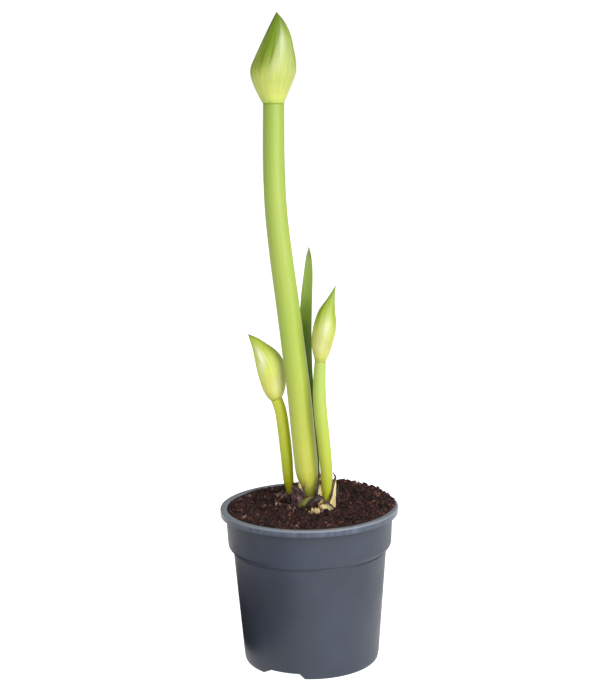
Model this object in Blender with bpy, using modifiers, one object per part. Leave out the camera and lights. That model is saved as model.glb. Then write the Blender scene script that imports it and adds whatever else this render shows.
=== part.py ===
"""Amaryllis in a plastic nursery pot: bulb, three flower stems in bud and one leaf.

Sizes are in millimetres and are scaled to metres as the meshes are made. +Z is up, the
origin is on the ground under the pot's centre, and the front of the plant faces -Y.
"""

import math

import bmesh
import bpy
from mathutils import Matrix, Vector, noise

MM = 0.001
GAP = 0.3  # air left between two pieces that touch
SLOT_ABOVE = 24.0  # how far the cutters for holes reach above the pot

# Pot: moulded nursery pot with a turned-down lip, a stacking collar and a notched foot
POT_HEIGHT = 114.3
RIM_RADIUS = 65.0
LIP_DROP = 4.9
LIP_WALL = 1.4
WALL = 1.2
COLLAR_TOP_RADIUS = 60.5
COLLAR_LOW_RADIUS = 59.8
COLLAR_LOW_Z = 85.4
BODY_TOP_RADIUS = 55.2
BODY_TOP_Z = 78.6
FOOT_RADIUS = 48.4
FOOT_WIDTH = 2.6
BODY_LOW_RADIUS = 49.4
BODY_LOW_Z = 4.0
FLOOR_UNDER_Z = 4.6
FLOOR_DOME = 0.7
FLOOR_THICK = 1.4
POT_STEPS = 48
NOTCHES = 3
NOTCH_HEIGHT = 4.2
NOTCH_TOP_WIDTH = 20.0
NOTCH_FOOT_WIDTH = 33.5
NOTCH_FIRST_ANGLE = -27.4  # degrees from the front towards the left
DRAIN_HOLES = 6
DRAIN_RADIUS = 4.0
DRAIN_RING = 31.0
DRAIN_SIDES = 12

# Potting soil
SOIL_EDGE_Z = 109.6
SOIL_RINGS = 11
SOIL_MOUND = 3.6
SOIL_RELIEF = 1.5
SOIL_LUMP = 7.0
SOIL_CRUMB = 3.2
SOIL_HEAPS = [  # place, rise and spread: the back right and against the neck at the left
    (34.0, 30.0, 7.5, 19.0),
    (-20.0, -12.0, 3.6, 11.0),
]

# Bulb, with its axis a little behind and to the right of the pot's
BULB_AT = (2.5, 4.5)
BULB_RADIUS = 42.5
NECK_RADIUS = 22.5
NECK_TOP_Z = 117.6
NECK_EDGE_Z = 111.4
BULB_STEPS = 40
TUNIC_THICK = 1.0
TUNIC_LOW_Z = 102.0
TUNIC_TOP_Z = 110.4

# Flower stems: centre line and radius, from inside the neck up to the bud
MAIN_STEM = [
    (0.3, 2.0, 97.0, 4.6),
    (0.2, 2.0, 117.0, 5.2),
    (-0.3, 1.9, 127.0, 7.0),
    (-1.2, 1.7, 138.0, 8.3),
    (-2.5, 1.5, 156.0, 8.6),
    (-6.0, 0.9, 200.6, 8.5),
    (-12.9, -0.3, 266.0, 8.35),
    (-16.8, -1.0, 300.5, 8.15),
    (-19.3, -0.4, 328.0, 7.95),
    (-20.2, 0.2, 360.0, 7.65),
    (-19.5, 1.0, 402.4, 7.35),
]
LEFT_STEM = [
    (-12.6, 9.4, 97.0, 2.9),
    (-13.9, 10.1, 117.0, 3.2),
    (-14.8, 10.4, 131.0, 4.0),
    (-16.0, 10.9, 151.0, 4.4),
    (-17.8, 11.4, 170.0, 4.45),
    (-19.6, 11.8, 183.0, 4.35),
    (-22.3, 12.0, 191.6, 4.3),
]
RIGHT_STEM = [
    (12.2, -7.0, 97.0, 2.8),
    (12.9, -8.0, 117.0, 3.2),
    (13.2, -8.4, 129.0, 3.9),
    (12.9, -8.9, 144.0, 4.4),
    (11.0, -9.7, 168.0, 4.75),
    (9.3, -9.8, 187.0, 4.85),
    (8.9, -9.4, 205.0, 4.6),
    (9.9, -9.0, 222.6, 4.0),
]
STEM_POINTS = {"main": 22, "left": 14, "right": 15}
STEM_ROUNDS = {"main": 5, "left": 3, "right": 3}

# Buds: share of the length, half width, and how far the middle lies to the right of the line
# from foot to tip
MAIN_BUD = {
    "tip": (-16.0, 2.0, 467.2),
    "outline": [
        (0.00, 7.5, 0.0), (0.14, 11.3, -1.6), (0.27, 14.5, -1.9), (0.39, 15.8, -1.3),
        (0.52, 14.6, -0.5), (0.70, 11.5, 0.4), (0.83, 8.4, 1.0), (0.93, 4.6, 0.7),
        (1.00, 0.25, 0.0),
    ],
    "depth": 0.86,
    "lap": 0.8,
}
LEFT_BUD = {
    "tip": (-42.0, 14.0, 239.8),
    "outline": [
        (0.00, 4.1, 0.0), (0.10, 7.2, 1.5), (0.22, 9.4, 2.9), (0.36, 10.2, 4.4),
        (0.50, 10.0, 5.5), (0.65, 8.2, 5.2), (0.80, 5.0, 3.6), (0.91, 2.7, 1.9),
        (1.00, 0.25, 0.0),
    ],
    "depth": 0.82,
    "lap": 0.6,
}
RIGHT_BUD = {
    "tip": (21.8, -8.0, 277.0),
    "outline": [
        (0.00, 3.9, 0.0), (0.10, 5.7, -0.7), (0.22, 7.4, -1.5), (0.38, 8.2, -1.9),
        (0.52, 7.8, -2.2), (0.66, 5.9, -2.6), (0.80, 3.1, -1.7), (0.91, 1.3, -0.8),
        (1.00, 0.25, 0.0),
    ],
    "depth": 0.82,
    "lap": 0.6,
}
BUD_ROUND = 24
BUD_RINGS = 15
SEAM_TOP = -84.0  # degrees round from the right, so that -90 is the front
SEAM_SLANT = 22.0
OUTER_VALVE = 190.0  # degrees of the bud's round that the outer valve wraps

# Leaf: middle line and half width
LEAF = [
    (5.0, 13.3, 98.0, 3.4),
    (5.0, 13.4, 118.0, 4.0),
    (3.6, 13.5, 140.0, 4.7),
    (1.9, 13.6, 165.0, 5.0),
    (0.0, 13.8, 198.0, 4.9),
    (-0.4, 14.4, 234.0, 4.6),
    (0.9, 15.5, 263.5, 4.2),
    (2.6, 16.3, 284.0, 3.2),
    (3.2, 16.8, 296.0, 1.8),
    (3.4, 17.0, 302.2, 0.35),
]
LEAF_THICK = 1.4
LEAF_TURN = 8.0  # degrees that its right edge is turned to the back
LEAF_TROUGH_ROOM = 0.4
LEAF_SLOT_ROOM = 1.4  # from the leaf to the sides of its slit in the neck
LEAF_CHANNEL = 0.22  # depth of the trough, as a share of the half width
LEAF_LENGTHS = 24
LEAF_WIDTHS = 4

# Cut scales on the neck: how each one faces (degrees from the front, right is positive), its
# thickness, and its middle line with half widths from the foot up
BULB_SCALES = [
    (-5.0, 1.3, [(0.2, -8.4, 109.0, 6.8), (0.2, -8.0, 117.0, 6.4), (0.5, -7.6, 123.0, 4.2)]),
    (-25.0, 1.4, [(-5.4, -11.8, 108.5, 6.2), (-4.6, -11.2, 115.0, 5.4), (-3.2, -10.4, 120.6, 2.4)]),
    (-8.0, 1.8, [(4.9, -14.7, 107.5, 3.5), (4.8, -15.1, 113.0, 3.0), (4.6, -15.8, 117.4, 1.5)]),
    (22.0, 1.7, [(11.6, -13.0, 107.5, 4.2), (11.6, -13.3, 114.0, 3.7), (11.3, -13.9, 120.4, 1.7)]),
    (0.0, 1.2, [
        (7.1, -2.7, 109.5, 2.8), (7.5, -2.3, 120.0, 2.1), (8.2, -1.8, 129.0, 1.0),
        (8.6, -1.6, 133.6, 0.4),
    ]),
    (55.0, 1.3, [
        (17.8, -4.0, 108.5, 3.2), (18.0, -3.7, 118.0, 2.5), (18.4, -3.6, 127.0, 1.5),
        (18.3, -3.8, 133.0, 0.9), (17.7, -4.2, 138.6, 0.4),
    ]),
    (-10.0, 1.1, [
        (-10.0, 0.4, 109.5, 2.5), (-10.3, 0.9, 122.0, 2.0), (-10.7, 1.5, 132.0, 1.1),
        (-10.9, 1.8, 138.4, 0.4),
    ]),
    (5.0, 1.2, [(8.6, 7.6, 109.5, 2.6), (8.4, 7.3, 125.0, 1.8), (8.0, 7.0, 137.0, 0.5)]),
    (200.0, 1.3, [(-4.0, 15.0, 109.0, 4.4), (-4.4, 15.4, 118.0, 3.6), (-4.9, 15.8, 126.0, 1.5)]),
    (140.0, 1.3, [(14.8, 13.6, 109.0, 4.2), (14.5, 13.2, 117.0, 3.4), (14.1, 12.8, 124.0, 1.5)]),
]
# Dry strips of the tunic: facing, half width at the ring, and the free part above it
TUNIC_STRIPS = [
    (-36.0, 7.0, [
        (-10.6, -13.0, 119.0, 6.8), (-9.9, -11.4, 127.0, 5.0), (-11.0, -10.4, 134.0, 2.4),
    ]),
    (-10.0, 3.2, [(0.6, -18.2, 119.0, 3.5), (4.4, -17.4, 122.8, 3.6), (8.2, -16.6, 125.4, 2.4)]),
    (75.0, 2.9, [(23.7, -1.8, 119.0, 2.4), (22.2, -2.1, 127.0, 1.6), (21.8, -2.3, 131.6, 0.6)]),
    (128.0, 4.4, [(20.0, 18.2, 118.0, 3.2), (19.2, 17.4, 123.0, 1.0)]),
    (165.0, 4.6, [(8.2, 25.8, 119.0, 3.4), (7.8, 24.0, 129.0, 0.9)]),
    (-160.0, 4.8, [(-5.6, 25.6, 118.0, 3.4), (-6.2, 24.4, 124.0, 1.2)]),
    (-115.0, 4.4, [(-19.2, 14.4, 117.0, 3.2), (-20.2, 14.4, 121.0, 1.0)]),
    (-78.0, 3.6, [(-21.0, -0.8, 117.0, 2.8), (-22.6, -1.6, 122.0, 1.0)]),
]
STRIP_THICK = 0.8
STRIP_FOOT_Z = 105.0
STRIP_FREE_Z = 112.0  # height at which a strip leaves the ring's round
SCALE_CURL = 9.0  # radius that a blade is rolled to
BLADE_ROWS = 6

COLOURS = {
    "pot": (0.105, 0.117, 0.142),
    "soil": (0.028, 0.012, 0.010),
    "bulb_flesh": (0.70, 0.58, 0.33),
    "tunic": (0.105, 0.052, 0.045),
    "stem": (0.42, 0.56, 0.10),
    "bud": (0.48, 0.60, 0.14),
    "leaf": (0.16, 0.30, 0.05),
}
ROUGHNESS = {
    "pot": 0.42, "soil": 0.95, "bulb_flesh": 0.55, "tunic": 0.6, "stem": 0.38, "bud": 0.42,
    "leaf": 0.4,
}


def clear_scene():
    for obj in list(bpy.data.objects):
        bpy.data.objects.remove(obj, do_unlink=True)


def collection(name):
    made = bpy.data.collections.new(name)
    bpy.context.scene.collection.children.link(made)
    return made


def material(name):
    made = bpy.data.materials.new(name)
    made.use_nodes = True
    shader = made.node_tree.nodes["Principled BSDF"]
    shader.inputs["Base Color"].default_value = (*COLOURS[name], 1.0)
    shader.inputs["Roughness"].default_value = ROUGHNESS[name]
    shader.inputs["Metallic"].default_value = 0.0
    return made


def object_of(mesh_or_curve, name, group):
    obj = bpy.data.objects.new(name, mesh_or_curve)
    group.objects.link(obj)
    return obj


def object_from_bmesh(bm, name, group):
    mesh = bpy.data.meshes.new(name)
    bm.to_mesh(mesh)
    bm.free()
    return object_of(mesh, name, group)


def baked(obj):
    """The object with its modifiers turned into plain mesh."""
    bpy.context.view_layer.update()
    graph = bpy.context.evaluated_depsgraph_get()
    mesh = bpy.data.meshes.new_from_object(obj.evaluated_get(graph))
    name, group = obj.name, obj.users_collection[0]
    world = obj.matrix_world.copy()
    bpy.data.objects.remove(obj, do_unlink=True)
    bm = bmesh.new()
    bm.from_mesh(mesh)
    bmesh.ops.remove_doubles(bm, verts=bm.verts, dist=1e-6)
    made = object_from_bmesh(bm, name, group)
    made.matrix_world = world
    return made


def as_cutter(obj):
    obj.hide_render = True
    obj.display_type = "WIRE"


def boolean(obj, operation, group):
    """Joins the group's objects to obj, or cuts them out of it."""
    modifier = obj.modifiers.new(operation.title(), "BOOLEAN")
    modifier.operation = operation
    modifier.solver = "EXACT"
    modifier.operand_type = "COLLECTION"
    modifier.collection = group


def finish(obj, slot, angle=40.0):
    obj.data.materials.clear()
    obj.data.materials.append(material(slot))
    obj.data.shade_smooth()
    obj.data.set_sharp_from_angle(angle=math.radians(angle))


def curve_at(knots, places, s):
    """The point at place s on the smooth curve that meets each knot at its own place."""
    last = len(knots) - 1
    i = min(sum(1 for place in places[1:] if place <= s), last - 1)
    span = places[i + 1] - places[i]
    u = (s - places[i]) / span
    slopes = []
    for k in (i, i + 1):
        low, high = max(k - 1, 0), min(k + 1, last)
        slopes.append((knots[high] - knots[low]) / (places[high] - places[low]) * span)
    return (
        knots[i] * (2 * u**3 - 3 * u**2 + 1)
        + slopes[0] * (u**3 - 2 * u**2 + u)
        + knots[i + 1] * (3 * u**2 - 2 * u**3)
        + slopes[1] * (u**3 - u**2)
    )


def smooth(points, count):
    """Count points on one smooth curve through the given ones, evenly spread along it."""
    knots = [Vector(p) for p in points]
    along = [0.0]
    for a, b in zip(knots, knots[1:]):
        along.append(along[-1] + (b - a).length)
    return [curve_at(knots, along, along[-1] * k / (count - 1)) for k in range(count)]


def turned(name, profile, steps, group, at=(0.0, 0.0)):
    """A turned solid from (radius, height) points that run down its outer side."""
    bm = bmesh.new()
    verts = [bm.verts.new((r * MM, 0.0, z * MM)) for r, z in profile]
    for a, b in zip(verts, verts[1:]):
        bm.edges.new((a, b))
    obj = object_from_bmesh(bm, name, group)
    screw = obj.modifiers.new("Turn", "SCREW")
    screw.axis = "Z"
    screw.angle = 2 * math.pi
    screw.steps = steps
    screw.render_steps = steps
    screw.use_merge_vertices = True
    screw.merge_threshold = 0.0001
    obj.location = (at[0] * MM, at[1] * MM, 0.0)
    return obj


def outer_wall():
    """Outside of the pot from the lip's skirt down to the foot."""
    skirt_z = POT_HEIGHT - LIP_DROP
    groove_z = POT_HEIGHT - LIP_WALL
    return [
        (RIM_RADIUS - 0.9, POT_HEIGHT),
        (RIM_RADIUS, POT_HEIGHT - 0.9),
        (RIM_RADIUS - 0.1, skirt_z),
        (RIM_RADIUS - LIP_WALL, skirt_z),
        (RIM_RADIUS - LIP_WALL, groove_z),
        (COLLAR_TOP_RADIUS, groove_z),
        (COLLAR_LOW_RADIUS, COLLAR_LOW_Z),
        (COLLAR_LOW_RADIUS - 0.5, COLLAR_LOW_Z - 0.3),
        (COLLAR_LOW_RADIUS - 1.1, COLLAR_LOW_Z - 2.9),
        (COLLAR_LOW_RADIUS - 2.5, COLLAR_LOW_Z - 5.2),
        (BODY_TOP_RADIUS, BODY_TOP_Z),
        (BODY_LOW_RADIUS, BODY_LOW_Z),
        (FOOT_RADIUS + 0.5, 0.6),
        (FOOT_RADIUS, 0.0),
    ]


def inner_wall(inset=0.0):
    """Inside of the pot from the floor's edge up to the collar's top."""
    edge = BODY_LOW_RADIUS - WALL - inset
    return [
        (edge - 1.2, FLOOR_UNDER_Z + FLOOR_THICK + inset),
        (edge + 0.1, FLOOR_UNDER_Z + FLOOR_THICK + 1.4 + inset),
        (BODY_TOP_RADIUS - WALL - inset, BODY_TOP_Z + 0.4),
        (COLLAR_LOW_RADIUS - 2.6 - WALL - inset, COLLAR_LOW_Z - 4.4),
        (COLLAR_LOW_RADIUS - 1.0 - WALL - inset, COLLAR_LOW_Z - 1.6),
        (COLLAR_LOW_RADIUS - 0.2 - WALL - inset, COLLAR_LOW_Z + 1.2),
    ]


def build_pot(parts, cutters):
    floor_top = FLOOR_UNDER_Z + FLOOR_DOME + FLOOR_THICK
    profile = [(0.0, floor_top), *inner_wall()]
    profile += [
        (COLLAR_TOP_RADIUS - WALL, POT_HEIGHT - 1.0),
        (COLLAR_TOP_RADIUS - WALL + 0.7, POT_HEIGHT),
        *outer_wall(),
        (FOOT_RADIUS - FOOT_WIDTH, 0.0),
        (FOOT_RADIUS - FOOT_WIDTH - 0.4, FLOOR_UNDER_Z),
        (0.0, FLOOR_UNDER_Z + FLOOR_DOME),
    ]
    pot = baked(turned("pot", profile, POT_STEPS, parts))
    for i in range(NOTCHES):
        foot_notch(i, cutters)
    for i in range(DRAIN_HOLES):
        angle = 2 * math.pi * i / DRAIN_HOLES
        drain_hole(DRAIN_RING * math.cos(angle), DRAIN_RING * math.sin(angle), cutters)
    drain_hole(0.0, 0.0, cutters)
    boolean(pot, "DIFFERENCE", cutters)
    finish(pot, "pot", 30.0)


def foot_notch(index, cutters):
    """A wedge with sloping ends that opens the foot ring."""
    angle = math.radians(NOTCH_FIRST_ANGLE - 90.0 + 360.0 * index / NOTCHES)
    bm = bmesh.new()
    bmesh.ops.create_cube(bm, size=1.0)
    inner, outer = FOOT_RADIUS - FOOT_WIDTH - 3.0, BODY_LOW_RADIUS + 3.0
    below = 1.0
    flare = (NOTCH_FOOT_WIDTH - NOTCH_TOP_WIDTH) / NOTCH_HEIGHT
    for v in bm.verts:
        top = v.co.z > 0
        width = NOTCH_TOP_WIDTH if top else NOTCH_FOOT_WIDTH + flare * below
        z = NOTCH_HEIGHT if top else -below
        v.co = Vector((outer if v.co.x > 0 else inner, math.copysign(width / 2, v.co.y), z)) * MM
    bm.transform(Matrix.Rotation(angle, 4, "Z"))
    as_cutter(object_from_bmesh(bm, f"notch_cutter_{index}", cutters))


def drain_hole(x, y, cutters):
    bm = bmesh.new()
    bmesh.ops.create_cone(
        bm, cap_ends=True, segments=DRAIN_SIDES, radius1=DRAIN_RADIUS * MM,
        radius2=DRAIN_RADIUS * MM, depth=6 * FLOOR_THICK * MM,
    )
    bm.transform(Matrix.Translation((x * MM, y * MM, (FLOOR_UNDER_Z + FLOOR_THICK) * MM)))
    as_cutter(object_from_bmesh(bm, "drain_cutter", cutters))


def bulb_profile(grow=0.0):
    """Bulb from the crown of the neck down to the basal plate."""
    return [
        (0.0, NECK_TOP_Z + grow),
        (9.0, NECK_TOP_Z - 0.6 + grow),
        (16.0, NECK_TOP_Z - 2.8 + grow),
        (21.0, NECK_EDGE_Z + grow),
        (NECK_RADIUS + grow, NECK_EDGE_Z - 2.0),
        (NECK_RADIUS + grow, 101.0),
        (NECK_RADIUS + 2.2 + grow, 96.0),
        (30.5 + grow, 87.0),
        (38.0 + grow, 77.0),
        (BULB_RADIUS - 0.4 + grow, 66.0),
        (BULB_RADIUS + grow, 57.0),
        (39.0 + grow, 45.0),
        (31.0 + grow, 36.0 - grow),
        (20.0 + grow, 30.5 - grow),
        (15.0 + grow, 28.0 - grow),
        (14.0 + grow, 24.0 - grow),
        (0.0, 23.0 - grow),
    ]


def soil_height(x, y):
    """Height of the soil's surface: mounded, heaped at the back right, and crumbly."""
    r = math.hypot(x, y)
    share = min(r / (COLLAR_TOP_RADIUS - WALL), 1.0)
    mound = SOIL_MOUND * (1.0 - share**2)
    heap = 0.0
    for heap_x, heap_y, rise, spread in SOIL_HEAPS:
        away = math.hypot(x - heap_x, y - heap_y) / spread
        heap += rise * math.exp(-(away**2)) * (1.0 - share**6)
    lumps = noise.noise(Vector((x / SOIL_LUMP, y / SOIL_LUMP, 3.1)))
    crumbs = noise.noise(Vector((x / SOIL_CRUMB, y / SOIL_CRUMB, 8.7)))
    relief = SOIL_RELIEF * (0.65 * lumps + 0.6 * crumbs) * min(1.0, 4.0 * (1.0 - share) + 0.25)
    return SOIL_EDGE_Z + mound + heap + relief


def build_soil(parts, hole_group):
    edge_radius = COLLAR_TOP_RADIUS - WALL - GAP - 0.1
    top = [(edge_radius * (i / SOIL_RINGS) ** 0.9, SOIL_EDGE_Z) for i in range(SOIL_RINGS + 1)]
    side = list(reversed(inner_wall(GAP)))
    floor_top = FLOOR_UNDER_Z + FLOOR_DOME + FLOOR_THICK + GAP
    soil = baked(turned("soil", [*top, *side, (0.0, floor_top)], POT_STEPS, parts))
    for v in soil.data.vertices:
        if v.co.z > (SOIL_EDGE_Z - 0.01) * MM:
            v.co.z = soil_height(v.co.x / MM, v.co.y / MM) * MM
    hole_radius = NECK_RADIUS + TUNIC_THICK + 2 * GAP + 0.2
    open_z = POT_HEIGHT + SLOT_ABOVE
    profile = [(0.0, open_z), (hole_radius, open_z)]
    profile += [(hole_radius, TUNIC_LOW_Z - 1.0)]
    profile += [p for p in bulb_profile(GAP) if p[1] < TUNIC_LOW_Z - 2.0]
    as_cutter(turned("bulb_hollow", profile, BULB_STEPS, hole_group, BULB_AT))
    boolean(soil, "DIFFERENCE", hole_group)
    finish(soil, "soil", 180.0)


def stem_curve(name, points, count, rounds, group, grow=0.0, reach=0.0):
    """A round stem as a poly curve whose radius follows the points."""
    path = smooth(points, count)
    first = path[0].copy()
    first.z -= reach
    path[0] = first
    curve = bpy.data.curves.new(name, "CURVE")
    curve.dimensions = "3D"
    curve.bevel_depth = MM
    curve.bevel_resolution = rounds
    curve.use_fill_caps = True
    spline = curve.splines.new("POLY")
    spline.points.add(len(path) - 1)
    for point, (x, y, z, r) in zip(spline.points, path):
        point.co = (x * MM, y * MM, z * MM, 1.0)
        point.radius = r + grow
    return object_of(curve, name, group)


def stem_cutter(key, points, group):
    """The stem's own shape, larger by the gap: the hole that it stands in."""
    obj = stem_curve(
        f"{key}_stem_hole", points, STEM_POINTS[key], STEM_ROUNDS[key], group,
        grow=1.5 * GAP, reach=GAP,
    )
    as_cutter(baked(obj))


def build_stem(key, points, parts):
    obj = stem_curve(
        f"flower_stem_{key}", points, STEM_POINTS[key], STEM_ROUNDS[key], parts
    )
    finish(baked(obj), "stem", 50.0)


def outline_at(outline, t):
    """(half width, offset) of a bud at a share t of its length."""
    knots = [Vector((half, offset)) for _, half, offset in outline]
    return curve_at(knots, [row[0] for row in outline], t)


def frame_across(direction):
    """The sideways and the front-to-back directions that stand square to the given one."""
    up = direction.normalized()
    depth_way = (Vector((0, 1, 0)) - up * up.y).normalized()
    return depth_way.cross(up), depth_way


def build_bud(key, stem_points, shape, parts):
    """A closed spathe of two overlapping valves, shaped from a sphere."""
    end, before = Vector(stem_points[-1][:3]), Vector(stem_points[-2][:3])
    tip = Vector(shape["tip"])
    foot = end + (end - before).normalized() * GAP
    along = tip - foot
    stem_frame, bud_frame = frame_across(end - before), frame_across(along)
    bm = bmesh.new()
    bmesh.ops.create_uvsphere(bm, u_segments=BUD_ROUND, v_segments=BUD_RINGS, radius=1.0)
    first = (1.0 - math.cos(math.pi / BUD_RINGS)) / 2
    table = {}
    for v in bm.verts:
        t = max(0.0, ((v.co.z + 1.0) / 2 - first) / (1.0 - first))
        row = round(t, 5)
        if row not in table:
            table[row] = outline_at(shape["outline"], t)
        width, offset = table[row]
        round_angle = math.atan2(v.co.y, v.co.x)
        pole = math.hypot(v.co.x, v.co.y) < 1e-4
        reach = 0.0 if pole else width + valve_lap(shape["lap"], round_angle, t)
        on_stem = max(0.0, 1.0 - 5.0 * t)
        depth = shape["depth"] + (1.0 - shape["depth"]) * on_stem
        side_way = bud_frame[0].lerp(stem_frame[0], on_stem)
        depth_way = bud_frame[1].lerp(stem_frame[1], on_stem)
        v.co = MM * (
            foot
            + along * t
            + side_way * (offset + reach * math.cos(round_angle))
            + depth_way * (reach * depth * math.sin(round_angle))
        )
    obj = object_from_bmesh(bm, f"flower_bud_{key}", parts)
    finish(obj, "bud", 50.0)


def valve_lap(lap, angle, t):
    """How far the outer valve stands proud of the inner one: nothing at the foot and the tip."""
    seam = math.radians(SEAM_TOP - SEAM_SLANT * max(0.0, 0.75 - t))
    on_outer = (angle - seam) % (2 * math.pi) < math.radians(OUTER_VALVE)
    fade = min(1.0, max(0.0, (t - 0.25) / 0.3)) * min(1.0, (1.0 - t) / 0.12)
    return lap * fade * (0.5 if on_outer else -0.5)


def strip(name, rows, thick, group, columns=2):
    """A thin blade: rows of (centre, half-width vector, bow vector), solidified."""
    bm = bmesh.new()
    bmesh.ops.create_grid(bm, x_segments=columns, y_segments=len(rows) - 1, size=1.0)
    for v in bm.verts:
        row = round((v.co.y + 1.0) / 2 * (len(rows) - 1))
        centre, half, bow = rows[row]
        across = v.co.x
        v.co = MM * (centre + half * across + bow * (across * across))
    obj = object_from_bmesh(bm, name, group)
    solidify = obj.modifiers.new("Thickness", "SOLIDIFY")
    solidify.thickness = thick * MM
    solidify.offset = 0.0
    solidify.use_even_offset = True
    return obj


def build_leaf(parts):
    rows = []
    for x, y, z, half in smooth(LEAF, LEAF_LENGTHS + 1):
        half = max(half, 0.3)
        turn = math.radians(LEAF_TURN)
        across = Vector((math.cos(turn), math.sin(turn), 0.0)) * half
        trough = Vector((0.0, -1.0, 0.0)) * half * LEAF_CHANNEL
        rows.append((Vector((x, y, z)), across, trough))
    leaf = strip("leaf", rows, LEAF_THICK, parts, LEAF_WIDTHS)
    finish(baked(leaf), "leaf", 60.0)


def leaf_slot(group):
    """The slit in the neck that the leaf comes out of."""
    bm = bmesh.new()
    bmesh.ops.create_cube(bm, size=1.0)
    x, y, low, half = LEAF[0]
    height = POT_HEIGHT - low + 2 * SLOT_ABOVE
    size = Vector((2 * (half + LEAF_SLOT_ROOM) + 1.6, LEAF_THICK + 2 * LEAF_SLOT_ROOM, height))
    middle = Vector((x, y - LEAF_TROUGH_ROOM, low - GAP + height / 2))
    for v in bm.verts:
        v.co = MM * (middle + Vector(a * b for a, b in zip(v.co, size)))
    as_cutter(object_from_bmesh(bm, "leaf_slot", group))


def strips_from_ring():
    """The tunic's strips with their feet set on the ring, in the form of the scales' table."""
    table = []
    ring = NECK_RADIUS + GAP + TUNIC_THICK / 2
    for facing, half, points in TUNIC_STRIPS:
        turn = math.radians(facing)
        x, y = BULB_AT[0] + ring * math.sin(turn), BULB_AT[1] - ring * math.cos(turn)
        foot = [(x, y, STRIP_FOOT_Z, half), (x, y, STRIP_FREE_Z, half)]
        table.append((facing, STRIP_THICK, foot + points))
    return table


def blades(kind, table, curl, group):
    """One object for each row of the table, rolled to the curl radius."""
    for i, (facing, thick, points) in enumerate(table):
        turn = math.radians(facing)
        across = Vector((math.cos(turn), math.sin(turn), 0.0))
        inwards = Vector((-math.sin(turn), math.cos(turn), 0.0))
        rows = []
        for x, y, z, half in smooth(points, BLADE_ROWS):
            half = max(half, 0.35)
            rows.append((Vector((x, y, z)), across * half, inwards * half * half / (2 * curl)))
        baked(strip(f"{kind}_{i}", rows, thick, group))


def join_by_union(obj, group):
    """One Boolean union takes the collection's objects into obj, then removes them."""
    boolean(obj, "UNION", group)
    obj = baked(obj)
    for other in list(group.objects):
        bpy.data.objects.remove(other, do_unlink=True)
    return obj


def build_bulb(parts, scales, stem_holes):
    bulb = baked(turned("bulb", bulb_profile(), BULB_STEPS, parts, BULB_AT))
    blades("scale", BULB_SCALES, SCALE_CURL, scales)
    bulb = join_by_union(bulb, scales)
    boolean(bulb, "DIFFERENCE", stem_holes)
    finish(baked(bulb), "bulb_flesh", 45.0)


def build_tunic(parts, strips, clear_of):
    inner, outer = NECK_RADIUS + GAP, NECK_RADIUS + GAP + TUNIC_THICK
    profile = [(inner, TUNIC_LOW_Z), (inner, TUNIC_TOP_Z), (outer, TUNIC_TOP_Z)]
    profile += [(outer, TUNIC_LOW_Z), (inner, TUNIC_LOW_Z)]
    tunic = baked(turned("bulb_tunic", profile, BULB_STEPS, parts, BULB_AT))
    blades("strip", strips_from_ring(), outer, strips)
    tunic = join_by_union(tunic, strips)
    boolean(tunic, "DIFFERENCE", clear_of)
    finish(baked(tunic), "tunic", 45.0)


def main():
    clear_scene()
    parts = collection("amaryllis_in_pot")
    pot_cutters = collection("pot_cutters")
    soil_hole = collection("soil_hole")
    stem_holes = collection("stem_holes")
    loose = collection("blades_to_join")
    build_pot(parts, pot_cutters)
    stems = {"main": MAIN_STEM, "left": LEFT_STEM, "right": RIGHT_STEM}
    buds = {"main": MAIN_BUD, "left": LEFT_BUD, "right": RIGHT_BUD}
    for key, points in stems.items():
        build_stem(key, points, parts)
        build_bud(key, points, buds[key], parts)
        stem_cutter(key, points, stem_holes)
    leaf_slot(stem_holes)
    build_leaf(parts)
    build_bulb(parts, loose, stem_holes)
    build_tunic(parts, loose, stem_holes)
    build_soil(parts, soil_hole)


main()
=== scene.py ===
"""Amaryllis in a moulded nursery pot: the finish of the plant, the soil and the pot.

Lengths are in millimetres and turned to metres as each mesh is made. The front of the plant
faces -Y and the pot stands on Z = 0.
"""

import math

import bmesh
import bpy
from mathutils import Matrix, Vector, noise


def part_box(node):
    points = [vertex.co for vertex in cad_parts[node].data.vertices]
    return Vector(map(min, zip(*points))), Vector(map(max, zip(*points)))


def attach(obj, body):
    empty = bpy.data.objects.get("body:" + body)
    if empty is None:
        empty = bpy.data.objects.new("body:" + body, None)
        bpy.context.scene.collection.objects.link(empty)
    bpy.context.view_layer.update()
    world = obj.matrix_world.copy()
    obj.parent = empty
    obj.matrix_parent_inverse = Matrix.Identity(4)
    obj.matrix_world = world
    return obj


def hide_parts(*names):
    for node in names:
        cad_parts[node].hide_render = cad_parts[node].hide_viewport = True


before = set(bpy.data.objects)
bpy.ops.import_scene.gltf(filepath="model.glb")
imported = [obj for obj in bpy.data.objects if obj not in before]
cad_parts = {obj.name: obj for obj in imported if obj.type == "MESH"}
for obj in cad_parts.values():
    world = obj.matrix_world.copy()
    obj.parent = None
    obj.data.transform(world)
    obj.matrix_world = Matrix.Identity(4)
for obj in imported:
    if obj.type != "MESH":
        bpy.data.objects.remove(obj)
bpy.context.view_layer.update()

SCENE = bpy.context.scene
MM = 0.001
FULL_TURN = 6.283  # radians
FRONT = -90.0  # degrees round from +X to the front

# Camera, placed as for the photograph
CAMERA_AT = (0.0, -1019.0, 409.0)
CAMERA_DOWN = 9.65
CAMERA_TURN = 0.24
CAMERA_ROLL = -1.14
CAMERA_LENS = 75.95

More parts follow.
